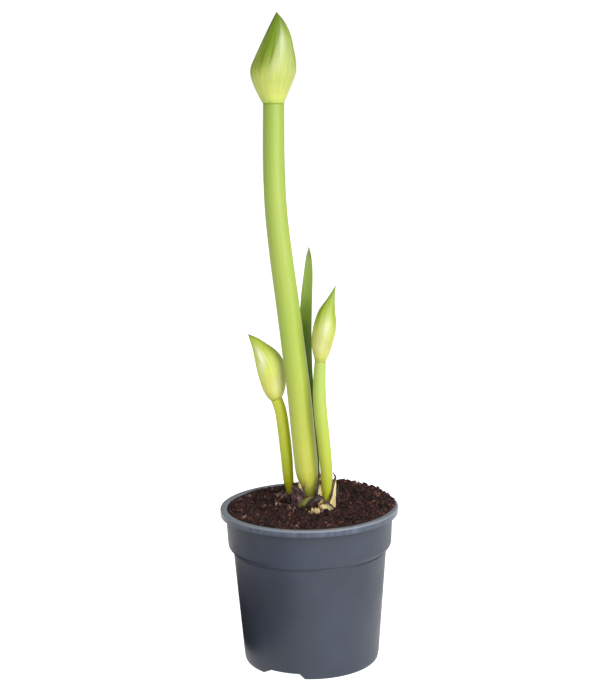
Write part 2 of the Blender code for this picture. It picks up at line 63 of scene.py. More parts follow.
# Light. Places and sizes are in metres, and what the camera sees of the table and the room
# behind is brighter than what lights the plant, so that both are white
ROOM_LIGHT = 0.32
TABLE_LIGHT = 0.82
SEEN_LIGHT = 1.05
LIT_POINT = (0.0, 0.0, 0.2)
KEY_AT = (0.80, -1.05, 0.70)
KEY_SIZE = 1.4
KEY_POWER = 21.0
FILL_AT = (-0.35, -1.25, 0.45)
FILL_SIZE = 0.8
FILL_POWER = 2.6
CARD_AT = (-0.125, -0.06, 0.003)
CARD_SIZE = (0.13, 0.42, 0.002)
TABLE_SIZE = 6.0
TABLE_GAP = 0.0004

# Pot
pot_low, pot_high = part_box("pot")
POT_HEIGHT = (pot_high[2] - pot_low[2]) / MM
RIM_RADIUS = (pot_high[0] - pot_low[0]) / 2 / MM
LIP_DROP = 4.9
LIP_WALL = 1.4
POT_WALL = 1.2
COLLAR_TOP_RADIUS = 61.0
COLLAR_LOW_RADIUS = 59.8
COLLAR_LOW_Z = 88.0
BODY_TOP_RADIUS = 56.2
BODY_TOP_Z = 83.2
BODY_LOW_RADIUS = 49.8
FOOT_RADIUS = 48.9
FOOT_WIDTH = 2.6
FLOOR_UNDER_Z = 4.6
FLOOR_THICK = 1.4
FLOOR_DOME = 0.7
POT_STEPS = 160
NOTCHES = 3
NOTCH_HEIGHT = 4.2
NOTCH_TOP_WIDTH = 22.0
NOTCH_TOP_SHIFT = 2.6
NOTCH_FOOT_WIDTH = 33.5
NOTCH_FIRST = -26.4
DRAIN_HOLES = 6
DRAIN_RADIUS = 4.0
DRAIN_RING = 31.0
CUT_PAST = 3.0  # how far a cutter reaches past what it cuts
SHARP_FROM = 38.0  # degrees between faces from which an edge is sharp
# Heights in metres where the lip's pale streaks, partly wear and partly painted highlight, and the
# painted highlight along its top begin and are full
RUBS_AND_HIGHLIGHT_FROM, RUBS_AND_HIGHLIGHT_FULL = 0.1085, 0.1110
TOP_HIGHLIGHT_FROM, TOP_HIGHLIGHT_FULL = 0.1129, 0.1138

# Soil: it fills the pot to the brim and spills over the rim at the right of the back
SOIL_EDGE_Z = POT_HEIGHT - 0.5
SOIL_EDGE_RISE = 0.9
SOIL_RADIUS = COLLAR_TOP_RADIUS - 1.5
SOIL_SPILL = 3.4
SOIL_SPILL_WAY = 42.0
SOIL_RISE = 0.8
SOIL_HEAPS = [  # place, rise and spread
    (33.0, 31.0, 4.2, 22.0), (52.0, 18.0, 2.4, 14.0), (22.0, 51.0, 2.4, 14.0),
    (-20.0, 8.0, 4.6, 11.0), (-18.0, -5.0, 3.0, 9.0), (24.0, 4.0, 2.4, 9.0), (3.0, 26.0, 3.0, 12.0),
    (8.0, -24.0, -2.6, 13.0), (-25.0, -14.0, -1.4, 7.0),
]
SOIL_RINGS = 96
SOIL_ROUND = 300
CRUMBS = 9000
CLODS = 1500
CHIPS = 110
FIBRES = 340
SEED = 7
noise.seed_set(SEED)  # without it the lumps' shapes change from run to run

# Bulb
BULB_AT = (2.5, 4.5)
BULB_RADIUS = 42.2
NECK_RADIUS = 22.3
NECK_TOP_Z = 116.2
NECK_EDGE_Z = 110.6

# Stems: middle line and radius, from inside the neck up to the bud, and their depth as a
# share of their width
STEM_DEPTH = 0.93
STEMS = {
    "main": [
        (0.9, 2, 99, 2.8), (0.8, 2, 118, 3.4), (0.65, 1.9, 125.5, 4.8),
        (0.1, 1.9, 130.5, 6.4), (-0.7, 1.8, 135.6, 7.7), (-1.4, 1.7, 142, 8.35),
        (-2.5, 1.5, 156, 8.6), (-6, 0.9, 200.6, 8.5), (-12.9, -0.3, 266, 8.35),
        (-16.8, -1, 300.5, 8.15), (-19.3, -0.4, 328, 7.95), (-20.2, 0.2, 360, 7.65),
        (-19.45, 1, 405, 7.35),
    ],
    "left": [
        (-13.2, 9.4, 99, 2), (-13.9, 10.1, 118, 2.2), (-14.2, 10.3, 124, 2.8),
        (-14.8, 10.4, 131, 3.8), (-16, 10.9, 151, 4.4), (-17.8, 11.4, 170, 4.45),
        (-19.6, 11.8, 183, 4.35), (-22.3, 12, 191.6, 4.3),
    ],
    "right": [
        (12.2, -7.6, 99, 1.8), (12.4, -8, 117, 2), (12.4, -8.2, 122.5, 2.7),
        (13.1, -8.4, 129, 3.8), (12.9, -8.9, 144, 4.4), (11, -9.7, 168, 4.75),
        (9.3, -9.8, 187, 4.85), (8.9, -9.4, 205, 4.6), (9.9, -9, 222.6, 4),
    ],
}

# Buds: tip, outline (share of the length, half width, how far the middle lies to the right),
# depth as a share of the width, the outer valve's seam in degrees round at the foot, the middle
# and the tip with how many degrees it wraps and its thickness, and its dark and pale marks with
# their colour and, for each, share of the length, degrees round, how far each way it spreads and
# its strength. The dark marks are partly the spathe's own darker green and partly painted shade
# beside the outer valve's seam; the pale marks are partly waxy bloom and partly painted highlight.
BUD_ROUND = 9.0  # radius that a bud's skin is laid straight from
BUDS = {
    "main": {
        "tip": (-16, 2, 467),
        "outline": [
            (0, 7.6, 0), (0.024, 8.3, -0.4), (0.09, 10.3, -0.85), (0.18, 12.8, -1.4),
            (0.28, 15.2, -1.5), (0.375, 15.95, -1.15), (0.475, 14.6, -0.4), (0.63, 11.5, 0.6),
            (0.77, 8.4, 1.35), (0.9, 4.4, 1.1), (1, 0.1, 0),
        ],
        "depth": 0.86,
        "seam": (-125, -99, -73),
        "wrap": 214,
        "lap": 0.34,
        "marks": {
            "dark": ("#56730f", [
                (0.76, -112, 0.19, 30, 1), (0.5, -122, 0.16, 14, 0.8), (0.56, -100, 0.12, 6, 0.6),
                (0.8, -165, 0.18, 22, 0.5), (0.42, -150, 0.2, 14, 0.3), (0.95, -60, 0.07, 50, 0.6),
                (0.66, -12, 0.22, 14, 0.3),
            ]),
            "pale": ("#b5bd96", [
                (0.66, -70, 0.17, 15, 0.85), (0.42, -86, 0.1, 14, 0.45), (0.52, -38, 0.22, 9, 0.45),
            ]),
        },
        "stops": [
            (0, "#92a649"), (0.03, "#a6b055"), (0.1, "#afb65d"), (0.3, "#a6b059"),
            (0.5, "#96a54b"), (0.72, "#82983b"), (0.88, "#69802b"), (1, "#445820"),
        ],
        "vein": "#a3b256",
    },
    "left": {
        "tip": (-42, 14, 239.6),
        "outline": [
            (0, 4.2, 0), (0.05, 6.2, 0.7), (0.12, 7.9, 1.7), (0.22, 9.4, 2.9),
            (0.36, 10.2, 4.4), (0.5, 10, 5.5), (0.65, 8.2, 5.2), (0.8, 5, 3.6),
            (0.91, 2.7, 1.9), (1, 0.1, 0),
        ],
        "depth": 0.82,
        "seam": (-176, -168, -150),
        "wrap": 176,
        "lap": 0.4,
        "marks": {
            "dark": ("#86992c", [
                (0.8, -10, 0.18, 14, 0.5), (0.6, -168, 0.3, 12, 0.7), (0.86, -120, 0.08, 30, 0.4),
                (0.1, -160, 0.1, 30, 0.4),
            ]),
            "pale": ("#e6e6cc", [
                (0.66, -108, 0.13, 17, 1), (0.5, -128, 0.1, 12, 0.5), (0.2, -75, 0.12, 24, 0.35),
                (0.36, -36, 0.2, 24, 0.3),
            ]),
        },
        "stops": [
            (0, "#a3ad43"), (0.05, "#c2bf62"), (0.14, "#d3d16a"), (0.4, "#c9d463"),
            (0.7, "#b5c754"), (0.9, "#a0b446"), (0.965, "#859640"), (1, "#4a5835"),
        ],
        "vein": "#bcc658",
    },
    "right": {
        "tip": (21.8, -8, 276.8),
        "outline": [
            (0, 3.9, 0), (0.04, 4.5, -0.2), (0.1, 5.7, -0.7), (0.22, 7.4, -1.5),
            (0.38, 8.2, -1.9), (0.52, 7.8, -2.2), (0.66, 5.9, -2.6), (0.8, 3.1, -1.7),
            (0.91, 1.3, -0.8), (1, 0.1, 0),
        ],
        "depth": 0.82,
        "seam": (-165, -152, -140),
        "wrap": 200,
        "lap": 0.45,
        "marks": {
            "dark": ("#5f7a20", [
                (0.7, -140, 0.2, 9, 1), (0.62, -178, 0.26, 8, 1), (0.96, -90, 0.06, 90, 0.8),
                (0.035, -90, 0.02, 99, 0.4),
            ]),
            "pale": ("#c7cca1", [
                (0.72, -158, 0.2, 6, 0.9), (0.45, -82, 0.13, 22, 1), (0.2, -90, 0.1, 40, 0.45),
            ]),
        },
        "stops": [
            (0, "#93a03c"), (0.05, "#adb050"), (0.16, "#b8b65c"), (0.4, "#acb553"),
            (0.62, "#8fa43a"), (0.85, "#7d9431"), (0.95, "#6c802c"), (1, "#445522"),
        ],
        "vein": "#aebc58",
    },
}

# Leaf: middle line and half width
LEAF = [
    (5, 13.3, 99, 3.4), (5, 13.4, 118, 4), (3.6, 13.5, 140, 4.7),
    (1.9, 13.6, 165, 5), (0, 13.8, 198, 4.9), (-0.4, 14.4, 234, 4.6),
    (0.9, 15.5, 263.5, 4.2), (2.6, 16.3, 284, 3.2), (3.2, 16.8, 296, 1.8),
    (3.4, 17, 302, 0.15),
]
LEAF_THICK = 1.5
LEAF_CHANNEL = 0.24
LEAF_TURN = 8.0


def linear(code):
    """A hex sRGB colour as linear red, green, blue and alpha."""
    parts = [int(code[i : i + 2], 16) / 255 for i in (1, 3, 5)]
    made = [c / 12.92 if c <= 0.04045 else ((c + 0.055) / 1.055) ** 2.4 for c in parts]
    return (*made, 1.0)


def feed(node, inputs):
    """Sets a node's inputs, by name or in their own order, each to a value or to another node's
    socket. A Map Range's order is value, from and from, to and to."""
    for name, value in inputs.items() if isinstance(inputs, dict) else enumerate(inputs):
        socket = node.inputs[name]
        if isinstance(value, bpy.types.NodeSocket):
            node.id_data.links.new(value, socket)
        else:
            socket.default_value = value


def add(tree, kind, inputs=None, out=0, stops=None, **settings):
    """Adds a node with its settings and returns one of its output sockets. A kind without the
    word Node is a shader node, and stops are a colour ramp's places with their hex colours."""
    made = tree.nodes.new(kind if "Node" in kind else f"ShaderNode{kind}")
    for name, value in settings.items():
        setattr(made, name, value)
    feed(made, inputs or {})
    if stops:
        marks = made.color_ramp.elements
        while len(marks) < len(stops):
            marks.new(1.0)
        for mark, (place, colour) in zip(marks, stops):
            mark.position = place
            mark.color = linear(colour)
    return made.outputs[out]


def start_material(name, uniform):
    """A new material, its tree and its shader, with the values that are the same all over."""
    made = bpy.data.materials.new(name)
    made.use_nodes = True
    shader = made.node_tree.nodes["Principled BSDF"]
    feed(shader, uniform)
    return made, made.node_tree, shader


def moulded_polypropylene():
    """Blue-grey polypropylene, moulded in finely eroded steel: a dark satin skin with a soft sheen
    and flow clouds 45 mm across. The lip is worn by handling in pale upright streaks 4 mm apart,
    partly real wear and partly painted highlight, and its top is painted palest as a highlight.

    The grain of the steel is a third of a millimetre, drawn here at one so that it shows."""
    made, tree, shader = start_material(
        "moulded_polypropylene", {"IOR": 1.49, "Specular IOR Level": 0.28}
    )
    place = add(tree, "TexCoord", out="Object")
    clouds = add(tree, "TexNoise", {"Vector": place, "Scale": 22.0, "Detail": 3.0})
    skin = add(tree, "ValToRGB", {"Fac": clouds}, stops=[(0.35, "#333842"), (0.65, "#393f4b")])
    upright = add(tree, "Mapping", {"Vector": place, "Scale": (1.0, 1.0, 0.08)})
    # Pale upright streaks on the lip: partly real wear, partly painted highlight
    rub_and_highlight_streaks = add(tree, "TexNoise", {"Vector": upright, "Scale": 240.0, "Detail": 3.0, "Roughness": 0.65})
    height = add(tree, "SeparateXYZ", {"Vector": place}, "Z")
    on_lip = add(tree, "MapRange", (height, RUBS_AND_HIGHLIGHT_FROM, RUBS_AND_HIGHLIGHT_FULL))
    strong = add(tree, "MapRange", (rub_and_highlight_streaks, 0.4, 0.72, 0.24, 0.8))
    rubs_and_highlight = add(tree, "Math", (on_lip, strong), operation="MULTIPLY")
    colour = add(tree, "Mix", {0: rubs_and_highlight, 6: skin, 7: linear("#5e677a")}, 2, data_type="RGBA")
    # Painted highlight: the top of the lip is painted paler
    on_top = add(tree, "MapRange", (height, TOP_HIGHLIGHT_FROM, TOP_HIGHLIGHT_FULL, 0.0, 0.75))
    top_highlighted = add(tree, "Mix", {0: on_top, 6: colour, 7: linear("#9298a2")}, 2, data_type="RGBA")
    grain = add(tree, "TexNoise", {"Vector": place, "Scale": 1000.0, "Detail": 3.0})
    ridge = add(tree, "Bump", {"Height": grain, "Strength": 0.22, "Distance": 0.0003})
    worn = add(tree, "TexNoise", {"Vector": place, "Scale": 60.0, "Detail": 4.0})
    sheen = add(tree, "MapRange", (worn, 0.3, 0.7, 0.38, 0.48))
    rubbed_sheen = add(tree, "Math", (on_lip, -0.16, sheen), operation="MULTIPLY_ADD")
    feed(shader, {"Base Color": top_highlighted, "Normal": ridge, "Roughness": rubbed_sheen})
    return made


def moist_peat():
    """Moist peat: red-brown on its crumbs and dull all over, with painted shade that makes it near
    black in its pits. Its grit is 1 mm across and its lighter and darker patches are 9 mm."""
    made, tree, shader = start_material("moist_peat", {"IOR": 1.4, "Roughness": 0.68})
    place = add(tree, "TexCoord", out="Object")
    tone = add(tree, "Attribute", out="Fac", attribute_name="tone")
    fine = add(tree, "TexNoise", {"Vector": place, "Scale": 900.0, "Detail": 4.0})
    broad = add(tree, "TexNoise", {"Vector": place, "Scale": 110.0, "Detail": 3.0})
    both = add(tree, "Math", (fine, broad), operation="ADD")
    mixed = add(tree, "Math", (tone, both), operation="ADD")
    shade = add(tree, "MapRange", (mixed, 0.7, 2.1))
    colour = add(
        tree, "ValToRGB", {"Fac": shade},
        stops=[(0, "#0d0606"), (0.4, "#221112"), (0.7, "#3e2220"), (0.95, "#673d31"), (1, "#8d7262")],
    )
    bump = add(tree, "Bump", {"Height": fine, "Strength": 0.8, "Distance": 0.0008})
    feed(shader, {"Base Color": colour, "Normal": bump})
    return made


def peat_fibre():
    """Rootlets and bark threads in the peat: red-brown to straw, dry and matt."""
    made, tree, shader = start_material("peat_fibre", {"IOR": 1.45, "Roughness": 0.75})
    tone = add(tree, "Attribute", out="Fac", attribute_name="tone")
    stops = [(0, "#24130f"), (0.6, "#47291d"), (0.9, "#6b4330"), (1, "#a38872")]
    feed(shader, {"Base Color": add(tree, "ValToRGB", {"Fac": tone}, stops=stops)})
    return made


def plant_skin(name, stops, vein, streaks, saturation=1.0, contrast=0.07, marks=None):
    """Waxy plant skin, softly shining: colour by the share of the length, with fine lines along
    it. Streaks are the lines in a metre, saturation is the whole colour's, and contrast is how
    far the lines differ in light.

    The piece carries two attributes: share, from 0 at its foot to 1 at its tip, and skin, its
    surface laid straight, in metres, so that lines follow the piece however it bends. Marks are
    colours for more attributes, which say how strong each mark is."""
    made, tree, shader = start_material(name, {
        "IOR": 1.42, "Roughness": 0.37, "Subsurface Weight": 0.12, "Subsurface Scale": 0.004,
        "Subsurface Radius": (0.6, 1.0, 0.25),
    })
    share = add(tree, "Attribute", out="Fac", attribute_name="share")
    skin = add(tree, "Attribute", out="Vector", attribute_name="skin")
    along = add(tree, "Mapping", {"Vector": skin, "Scale": (1.0, 1.0, 0.03)})
    patches = add(tree, "TexNoise", {"Vector": skin, "Scale": 70.0, "Detail": 3.0})
    drift = add(tree, "MapRange", (patches, 0.3, 0.7, -0.04, 0.04))
    where = add(tree, "Math", (share, drift), operation="ADD")
    colour = add(tree, "ValToRGB", {"Fac": where}, stops=stops)
    lines = add(tree, "TexNoise", {"Vector": along, "Scale": streaks, "Detail": 4.0, "Roughness": 0.65})
    # On the buds the dark marks are partly painted shade and the pale marks partly painted highlight
    for kind, mark in (marks or {}).items():
        drawn = add(tree, "Attribute", out="Fac", attribute_name=kind)
        uneven = add(tree, "MapRange", (lines, 0.3, 0.7, 0.7, 1.2))
        amount = add(tree, "Math", (drawn, uneven), operation="MULTIPLY", use_clamp=True)
        colour = add(tree, "Mix", {0: amount, 6: colour, 7: linear(mark)}, 2, data_type="RGBA")
    faint = add(tree, "MapRange", (lines, 0.4, 0.64, 0.0, 0.34))
    lined = add(tree, "Mix", {0: faint, 6: colour, 7: linear(vein)}, 2, data_type="RGBA")
    light = add(tree, "MapRange", (lines, 0.32, 0.68, 1.0 - contrast, 1.0 + contrast))
    shown = add(tree, "HueSaturation", {"Color": lined, "Value": light, "Saturation": saturation})
    bump = add(tree, "Bump", {"Height": lines, "Strength": 0.2, "Distance": 0.0003})
    feed(shader, {"Base Color": shown, "Normal": bump})
    return made


def fleshy_scale():
    """Cut bulb scale: moist cream flesh, browned at the torn edge. Its fibres are 1 mm apart and
    run along it, and its stains are 4 mm across."""
    made, tree, shader = start_material("fleshy_scale", {
        "IOR": 1.42, "Roughness": 0.45, "Subsurface Weight": 0.2, "Subsurface Scale": 0.003,
        "Subsurface Radius": (1.0, 0.7, 0.35),
    })
    share = add(tree, "Attribute", out="Fac", attribute_name="share")
    edge = add(tree, "Attribute", out="Fac", attribute_name="edge")
    skin = add(tree, "Attribute", out="Vector", attribute_name="skin")
    along = add(tree, "Mapping", {"Vector": skin, "Scale": (1.0, 1.0, 0.12)})
    fibres = add(tree, "TexNoise", {"Vector": along, "Scale": 900.0, "Detail": 3.0})
    stain = add(tree, "TexNoise", {"Vector": skin, "Scale": 260.0, "Detail": 4.0})
    stops = [(0.3, "#c9b06c"), (0.5, "#e0cd92"), (0.7, "#ece0b4")]
    flesh = add(tree, "ValToRGB", {"Fac": fibres}, stops=stops)
    rim = add(tree, "Math", (edge, stain), operation="MULTIPLY")
    tip = add(tree, "Math", (share, 5.0), operation="POWER")
    brown = add(tree, "Math", (rim, tip), operation="ADD")
    browned = add(tree, "MapRange", (brown, 0.42, 0.75))
    colour = add(tree, "Mix", {0: browned, 6: flesh, 7: linear("#7a4a2c")}, 2, data_type="RGBA")
    bump = add(tree, "Bump", {"Height": fibres, "Strength": 0.5, "Distance": 0.0004})
    feed(shader, {"Base Color": colour, "Normal": bump})
    return made


def papery_tunic(name, dark, middle, light, edge_colour):
    """Dry tunic: thin papery skin with bleached torn edges, a little glossy where it is drawn
    tight. Its veins are 1.3 mm apart and run along it, and its blotches are 4 mm across."""
    made, tree, shader = start_material(name, {"IOR": 1.5, "Roughness": 0.42})
    edge = add(tree, "Attribute", out="Fac", attribute_name="edge")
    skin = add(tree, "Attribute", out="Vector", attribute_name="skin")
    along = add(tree, "Mapping", {"Vector": skin, "Scale": (1.0, 1.0, 0.1)})
    veins = add(tree, "TexNoise", {"Vector": along, "Scale": 750.0, "Detail": 3.0})
    blotch = add(tree, "TexNoise", {"Vector": skin, "Scale": 260.0, "Detail": 4.0})
    both = add(tree, "Math", (veins, blotch), operation="ADD")
    spread = add(tree, "MapRange", (both, 0.7, 1.3))
    stops = [(0.1, dark), (0.5, middle), (0.95, light)]
    colour = add(tree, "ValToRGB", {"Fac": spread}, stops=stops)
    pale = add(tree, "MapRange", (edge, 0.85, 1.0, 0.0, 0.4))
    shown = add(tree, "Mix", {0: pale, 6: colour, 7: linear(edge_colour)}, 2, data_type="RGBA")
    bump = add(tree, "Bump", {"Height": veins, "Strength": 0.8, "Distance": 0.0006})
    feed(shader, {"Base Color": shown, "Normal": bump})
    return made


def backlit_acrylic():
    """Matt white acrylic table, lit from below so that it stays white round the pot."""
    made, tree, shader = start_material("backlit_acrylic", {
        "Roughness": 0.9, "Base Color": linear("#e6e6e6"), "Emission Color": linear("#ffffff"),
        "Specular IOR Level": 0.1,
    })
    seen = add(tree, "LightPath", out="Is Camera Ray")
    glow = add(tree, "MapRange", (seen, 0.0, 1.0, TABLE_LIGHT, SEEN_LIGHT))
    feed(shader, {"Emission Strength": glow})
    return made


def black_cloth():
    """Black studio cloth: it gives back almost no light."""
    return start_material("black_cloth", {"Roughness": 0.95, "Base Color": linear("#0a0a0a")})[0]


MATERIALS = {
    "pot": moulded_polypropylene(),
    "peat": moist_peat(),
    "fibre": peat_fibre(),
    "flesh": fleshy_scale(),
    "tunic": papery_tunic("papery_tunic", "#1c0f0f", "#38211f", "#5e3f42", "#7d5f52"),
    # A lighter copy of the tunic for the shreds: partly their own lighter purple-brown, partly painted
    # light against the shade they stand in
    "shred": papery_tunic("torn_tunic", "#311e21", "#5d3f42", "#9b7b75", "#b89c90"),
    # The scraps' light colours are partly bleached tunic and partly painted highlight
    "scrap": papery_tunic("bleached_tunic", "#3a2521", "#6e4f45", "#b39a88", "#c8b5a2"),
    # The main stem's lowest part is painted paler: partly its own yellower base, partly painted light
    # against the shadow of the tunic round it
    "main_stem": plant_skin(
        "main_stem_skin",
        [(0, "#d0cb66"), (0.1, "#c8c75e"), (0.2, "#bbbd56"), (0.42, "#9cae4e"), (0.75, "#98a953"),
         (1, "#8ea14c")],
        "#8da244", 700.0, 1.06,
    ),
    "left_stem": plant_skin(
        "left_stem_skin",
        [(0, "#8c8308"), (0.27, "#958e10"), (0.4, "#a9af1c"), (0.63, "#b8c23a"), (0.85, "#c0c647")],
        "#9aa030", 900.0, 1.05,
    ),
    "right_stem": plant_skin(
        "right_stem_skin",
        [(0, "#aaa234"), (0.2, "#b1b338"), (0.5, "#abb84a"), (0.8, "#a4b75a"), (1, "#9fb45e")],
        "#939c34", 900.0, 1.05,
    ),
    # Painted shade: the leaf's lower half is painted deep green for the shade it stands in between the
    # stems
    "leaf": plant_skin(
        "leaf_blade_skin",
        [(0, "#333f0a"), (0.5, "#34450a"), (0.7, "#4e6216"), (0.82, "#738a2d"), (0.95, "#748730"),
         (1, "#576636")],
        "#53731f", 1300.0, 1.08,
    ),
    "green_scale": plant_skin(
        "green_scale_skin", [(0, "#5c5a2a"), (0.4, "#7c8036"), (1, "#66632c")], "#4a4420", 900.0,
    ),
}
for bud_key, bud in BUDS.items():
    MATERIALS[f"{bud_key}_bud"] = plant_skin(
        f"{bud_key}_bud_skin", bud["stops"], bud["vein"], 1150.0, 1.05, 0.13,
        {kind: colour for kind, (colour, _) in bud["marks"].items()},
    )


def curve_at(knots, places, s):
    """The point at place s on the smooth curve that meets each knot at its own place."""
    last = len(knots) - 1
    i = min(sum(1 for place in places[1:] if place <= s), last - 1)
    span = places[i + 1] - places[i]
    u = (s - places[i]) / span
    slopes = []
    for k in (i, i + 1):
        low, high = max(k - 1, 0), min(k + 1, last)
        slopes.append((knots[high] - knots[low]) / (places[high] - places[low]) * span)
    return (
        knots[i] * (2 * u**3 - 3 * u**2 + 1)
        + slopes[0] * (u**3 - 2 * u**2 + u)
        + knots[i + 1] * (3 * u**2 - 2 * u**3)
        + slopes[1] * (u**3 - u**2)
    )


def path_through(points):
    """A function of the share of the length, with the length itself."""
    knots = [Vector(p) for p in points]
    along = [0.0]
    for a, b in zip(knots, knots[1:]):
        along.append(along[-1] + (b - a).length)
    return (lambda share: curve_at(knots, along, along[-1] * share)), along[-1]


def frame_across(direction):
    """The sideways and the front-to-back directions that stand square to the given one."""
    up = direction.normalized()
    depth_way = (Vector((0, 1, 0)) - up * up.y).normalized()
    return depth_way.cross(up), depth_way


def held(value, low=0.0, high=1.0):
    """The value, kept between two ends."""
    return max(low, min(high, value))


def heading(path, share, step):
    """Which way a path goes at a share of its length."""
    ahead, behind = path(min(share + step, 1.0)), path(max(share - step, 0.0))
    return Vector(ahead[:3]) - Vector(behind[:3])


def round_sheet(v, sharp):
    """Share v of the way round a thin sheet, as a place across it and a place through it, each
    from -1 to 1."""
    turn = 2 * math.pi * v
    return -math.cos(turn), held(sharp * math.sin(turn), -1.0, 1.0)


def skinned(name, lengths, rounds, place, material):
    """A closed surface. place(u, v) gives the point in millimetres, the straightened point for
    the pattern, and the surface's other attributes by name."""
    bm = bmesh.new()
    skin = bm.verts.layers.float_vector.new("skin")
    layers = {key: bm.verts.layers.float.new(key) for key in place(0.0, 0.0)[2]}
    rows = []
    for i in range(lengths + 1):
        row = []
        for j in range(rounds):
            spot, pattern, values = place(i / lengths, j / rounds)
            v = bm.verts.new(spot * MM)
            v[skin] = pattern * MM
            for key, value in values.items():
                v[layers[key]] = value
            row.append(v)
        rows.append(row)
    for low, high in zip(rows, rows[1:]):
        for j in range(rounds):
            k = (j + 1) % rounds
            bm.faces.new((low[j], low[k], high[k], high[j]))
    bmesh.ops.remove_doubles(bm, verts=bm.verts, dist=1e-7)
    bmesh.ops.holes_fill(bm, edges=[e for e in bm.edges if e.is_boundary], sides=0)
    bmesh.ops.recalc_face_normals(bm, faces=bm.faces)
    return object_from(bm, name, material)


def object_from(bm, name, material):
    """The mesh as a smooth piece of one material."""
    mesh = bpy.data.meshes.new(name)
    bm.to_mesh(mesh)
    bm.free()
    mesh.shade_smooth()
    mesh.materials.append(material)
    obj = bpy.data.objects.new(name, mesh)
    SCENE.collection.objects.link(obj)
    return obj


def joined(name, pieces):
    """Several finished meshes as one object."""
    bm = bmesh.new()
    material = pieces[0].data.materials[0]
    for piece in pieces:
        bm.from_mesh(piece.data)
        bpy.data.objects.remove(piece, do_unlink=True)
    return object_from(bm, name, material)


def hidden(name, pieces):
    """The pieces moved to a collection that the scene doesn't show."""
    group = bpy.data.collections.new(name)
    for piece in pieces:
        SCENE.collection.objects.unlink(piece)
        group.objects.link(piece)
    return group


def baked(obj):
    """The object as plain mesh, with its modifiers applied."""
    bpy.context.view_layer.update()
    graph = bpy.context.evaluated_depsgraph_get()
    mesh = bpy.data.meshes.new_from_object(obj.evaluated_get(graph))
    name = obj.name
    bpy.data.objects.remove(obj, do_unlink=True)
    made = bpy.data.objects.new(name, mesh)
    SCENE.collection.objects.link(made)
    return made


def placed(obj, node):
    """Sets the piece in its CAD node's place."""
    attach(obj, "root")
    if node:
        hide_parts(node)
    return obj


def arc(centre, radius, start, end, count=5):
    """Points of a round corner, in (radius, height), from one angle to another in degrees."""
    made = []
    for i in range(count):
        a = math.radians(start + (end - start) * i / (count - 1))
        made.append((centre[0] + radius * math.cos(a), centre[1] + radius * math.sin(a)))
    return made


def pot_profile():
    """The pot's section as (radius, height): up its inner side, then down its outer side."""
    rim, foot, foot_in = RIM_RADIUS, FOOT_RADIUS, FOOT_RADIUS - FOOT_WIDTH
    collar, collar_low, body = COLLAR_TOP_RADIUS, COLLAR_LOW_RADIUS, BODY_TOP_RADIUS
    collar_in, collar_low_in = collar - POT_WALL, collar_low - POT_WALL
    low = BODY_LOW_RADIUS - POT_WALL
    top_z, skirt_z, groove_z = POT_HEIGHT, POT_HEIGHT - LIP_DROP, POT_HEIGHT - LIP_WALL
    floor_z = FLOOR_UNDER_Z + FLOOR_THICK
    inner = [
        (0.0, floor_z + FLOOR_DOME),
        (low - 1.6, floor_z),
        *arc((low - 1.6, floor_z + 1.5), 1.5, -80.0, -8.0),
        (body - 0.2 - POT_WALL, BODY_TOP_Z + 0.4),
        (collar_low_in - 2.4, COLLAR_LOW_Z - 2.6),
        (collar_low_in - 0.8, COLLAR_LOW_Z - 0.8),
        (collar_low_in - 0.1, COLLAR_LOW_Z + 1.2),
        (collar_in, top_z - 2.4),
        *arc((collar_in + 1.4, top_z - 1.4), 1.4, 175.0, 95.0, 7),
    ]
    outer = [
        *arc((rim - 1.0, top_z - 1.0), 1.0, 88.0, 4.0, 7),
        (rim - 0.1, skirt_z + 0.3),
        *arc((rim - 0.4, skirt_z + 0.3), 0.3, 0.0, -90.0, 4),
        *arc((rim - LIP_WALL + 0.3, skirt_z + 0.3), 0.3, -90.0, -180.0, 4),
        (rim - LIP_WALL, groove_z - 0.4),
        (rim - LIP_WALL - 0.5, groove_z),
        (collar + 0.5, groove_z),
        (collar, groove_z - 0.5),
        (collar_low + 0.1, COLLAR_LOW_Z + 0.8),
        *arc((collar_low - 4.4, COLLAR_LOW_Z), 4.4, 0.0, -76.0, 10),
        (body + 0.3, BODY_TOP_Z + 0.5),
        (body - 0.5, BODY_TOP_Z + 0.3),
        (body - 0.65, BODY_TOP_Z - 0.2),
        (body - 0.5, BODY_TOP_Z - 0.8),
        (body - 0.15, BODY_TOP_Z - 1.3),
        (BODY_LOW_RADIUS, 4.0),
        (foot + 0.45, 0.9),
        *arc((foot - 0.3, 0.5), 0.5, -10.0, -80.0, 4),
        (foot - 0.9, 0.0),
        (foot_in + 0.3, 0.0),
        (foot_in, 0.3),
        (foot_in - 0.4, FLOOR_UNDER_Z),
        (0.0, FLOOR_UNDER_Z + FLOOR_DOME),
    ]
    return inner + outer


def turned(name, profile, steps):
    """A turned mesh from (radius, height) points that run down its outer side."""
    bm = bmesh.new()
    verts = [bm.verts.new((r * MM, 0.0, z * MM)) for r, z in profile]
    edges = [bm.edges.new(pair) for pair in zip(verts, verts[1:])]
    bmesh.ops.spin(
        bm, geom=verts + edges, cent=(0, 0, 0), axis=(0, 0, 1), angle=2 * math.pi, steps=steps,
        use_merge=True,
    )
    bmesh.ops.remove_doubles(bm, verts=bm.verts, dist=1e-6)
    bmesh.ops.recalc_face_normals(bm, faces=bm.faces)
    return object_from(bm, name, MATERIALS["pot"])


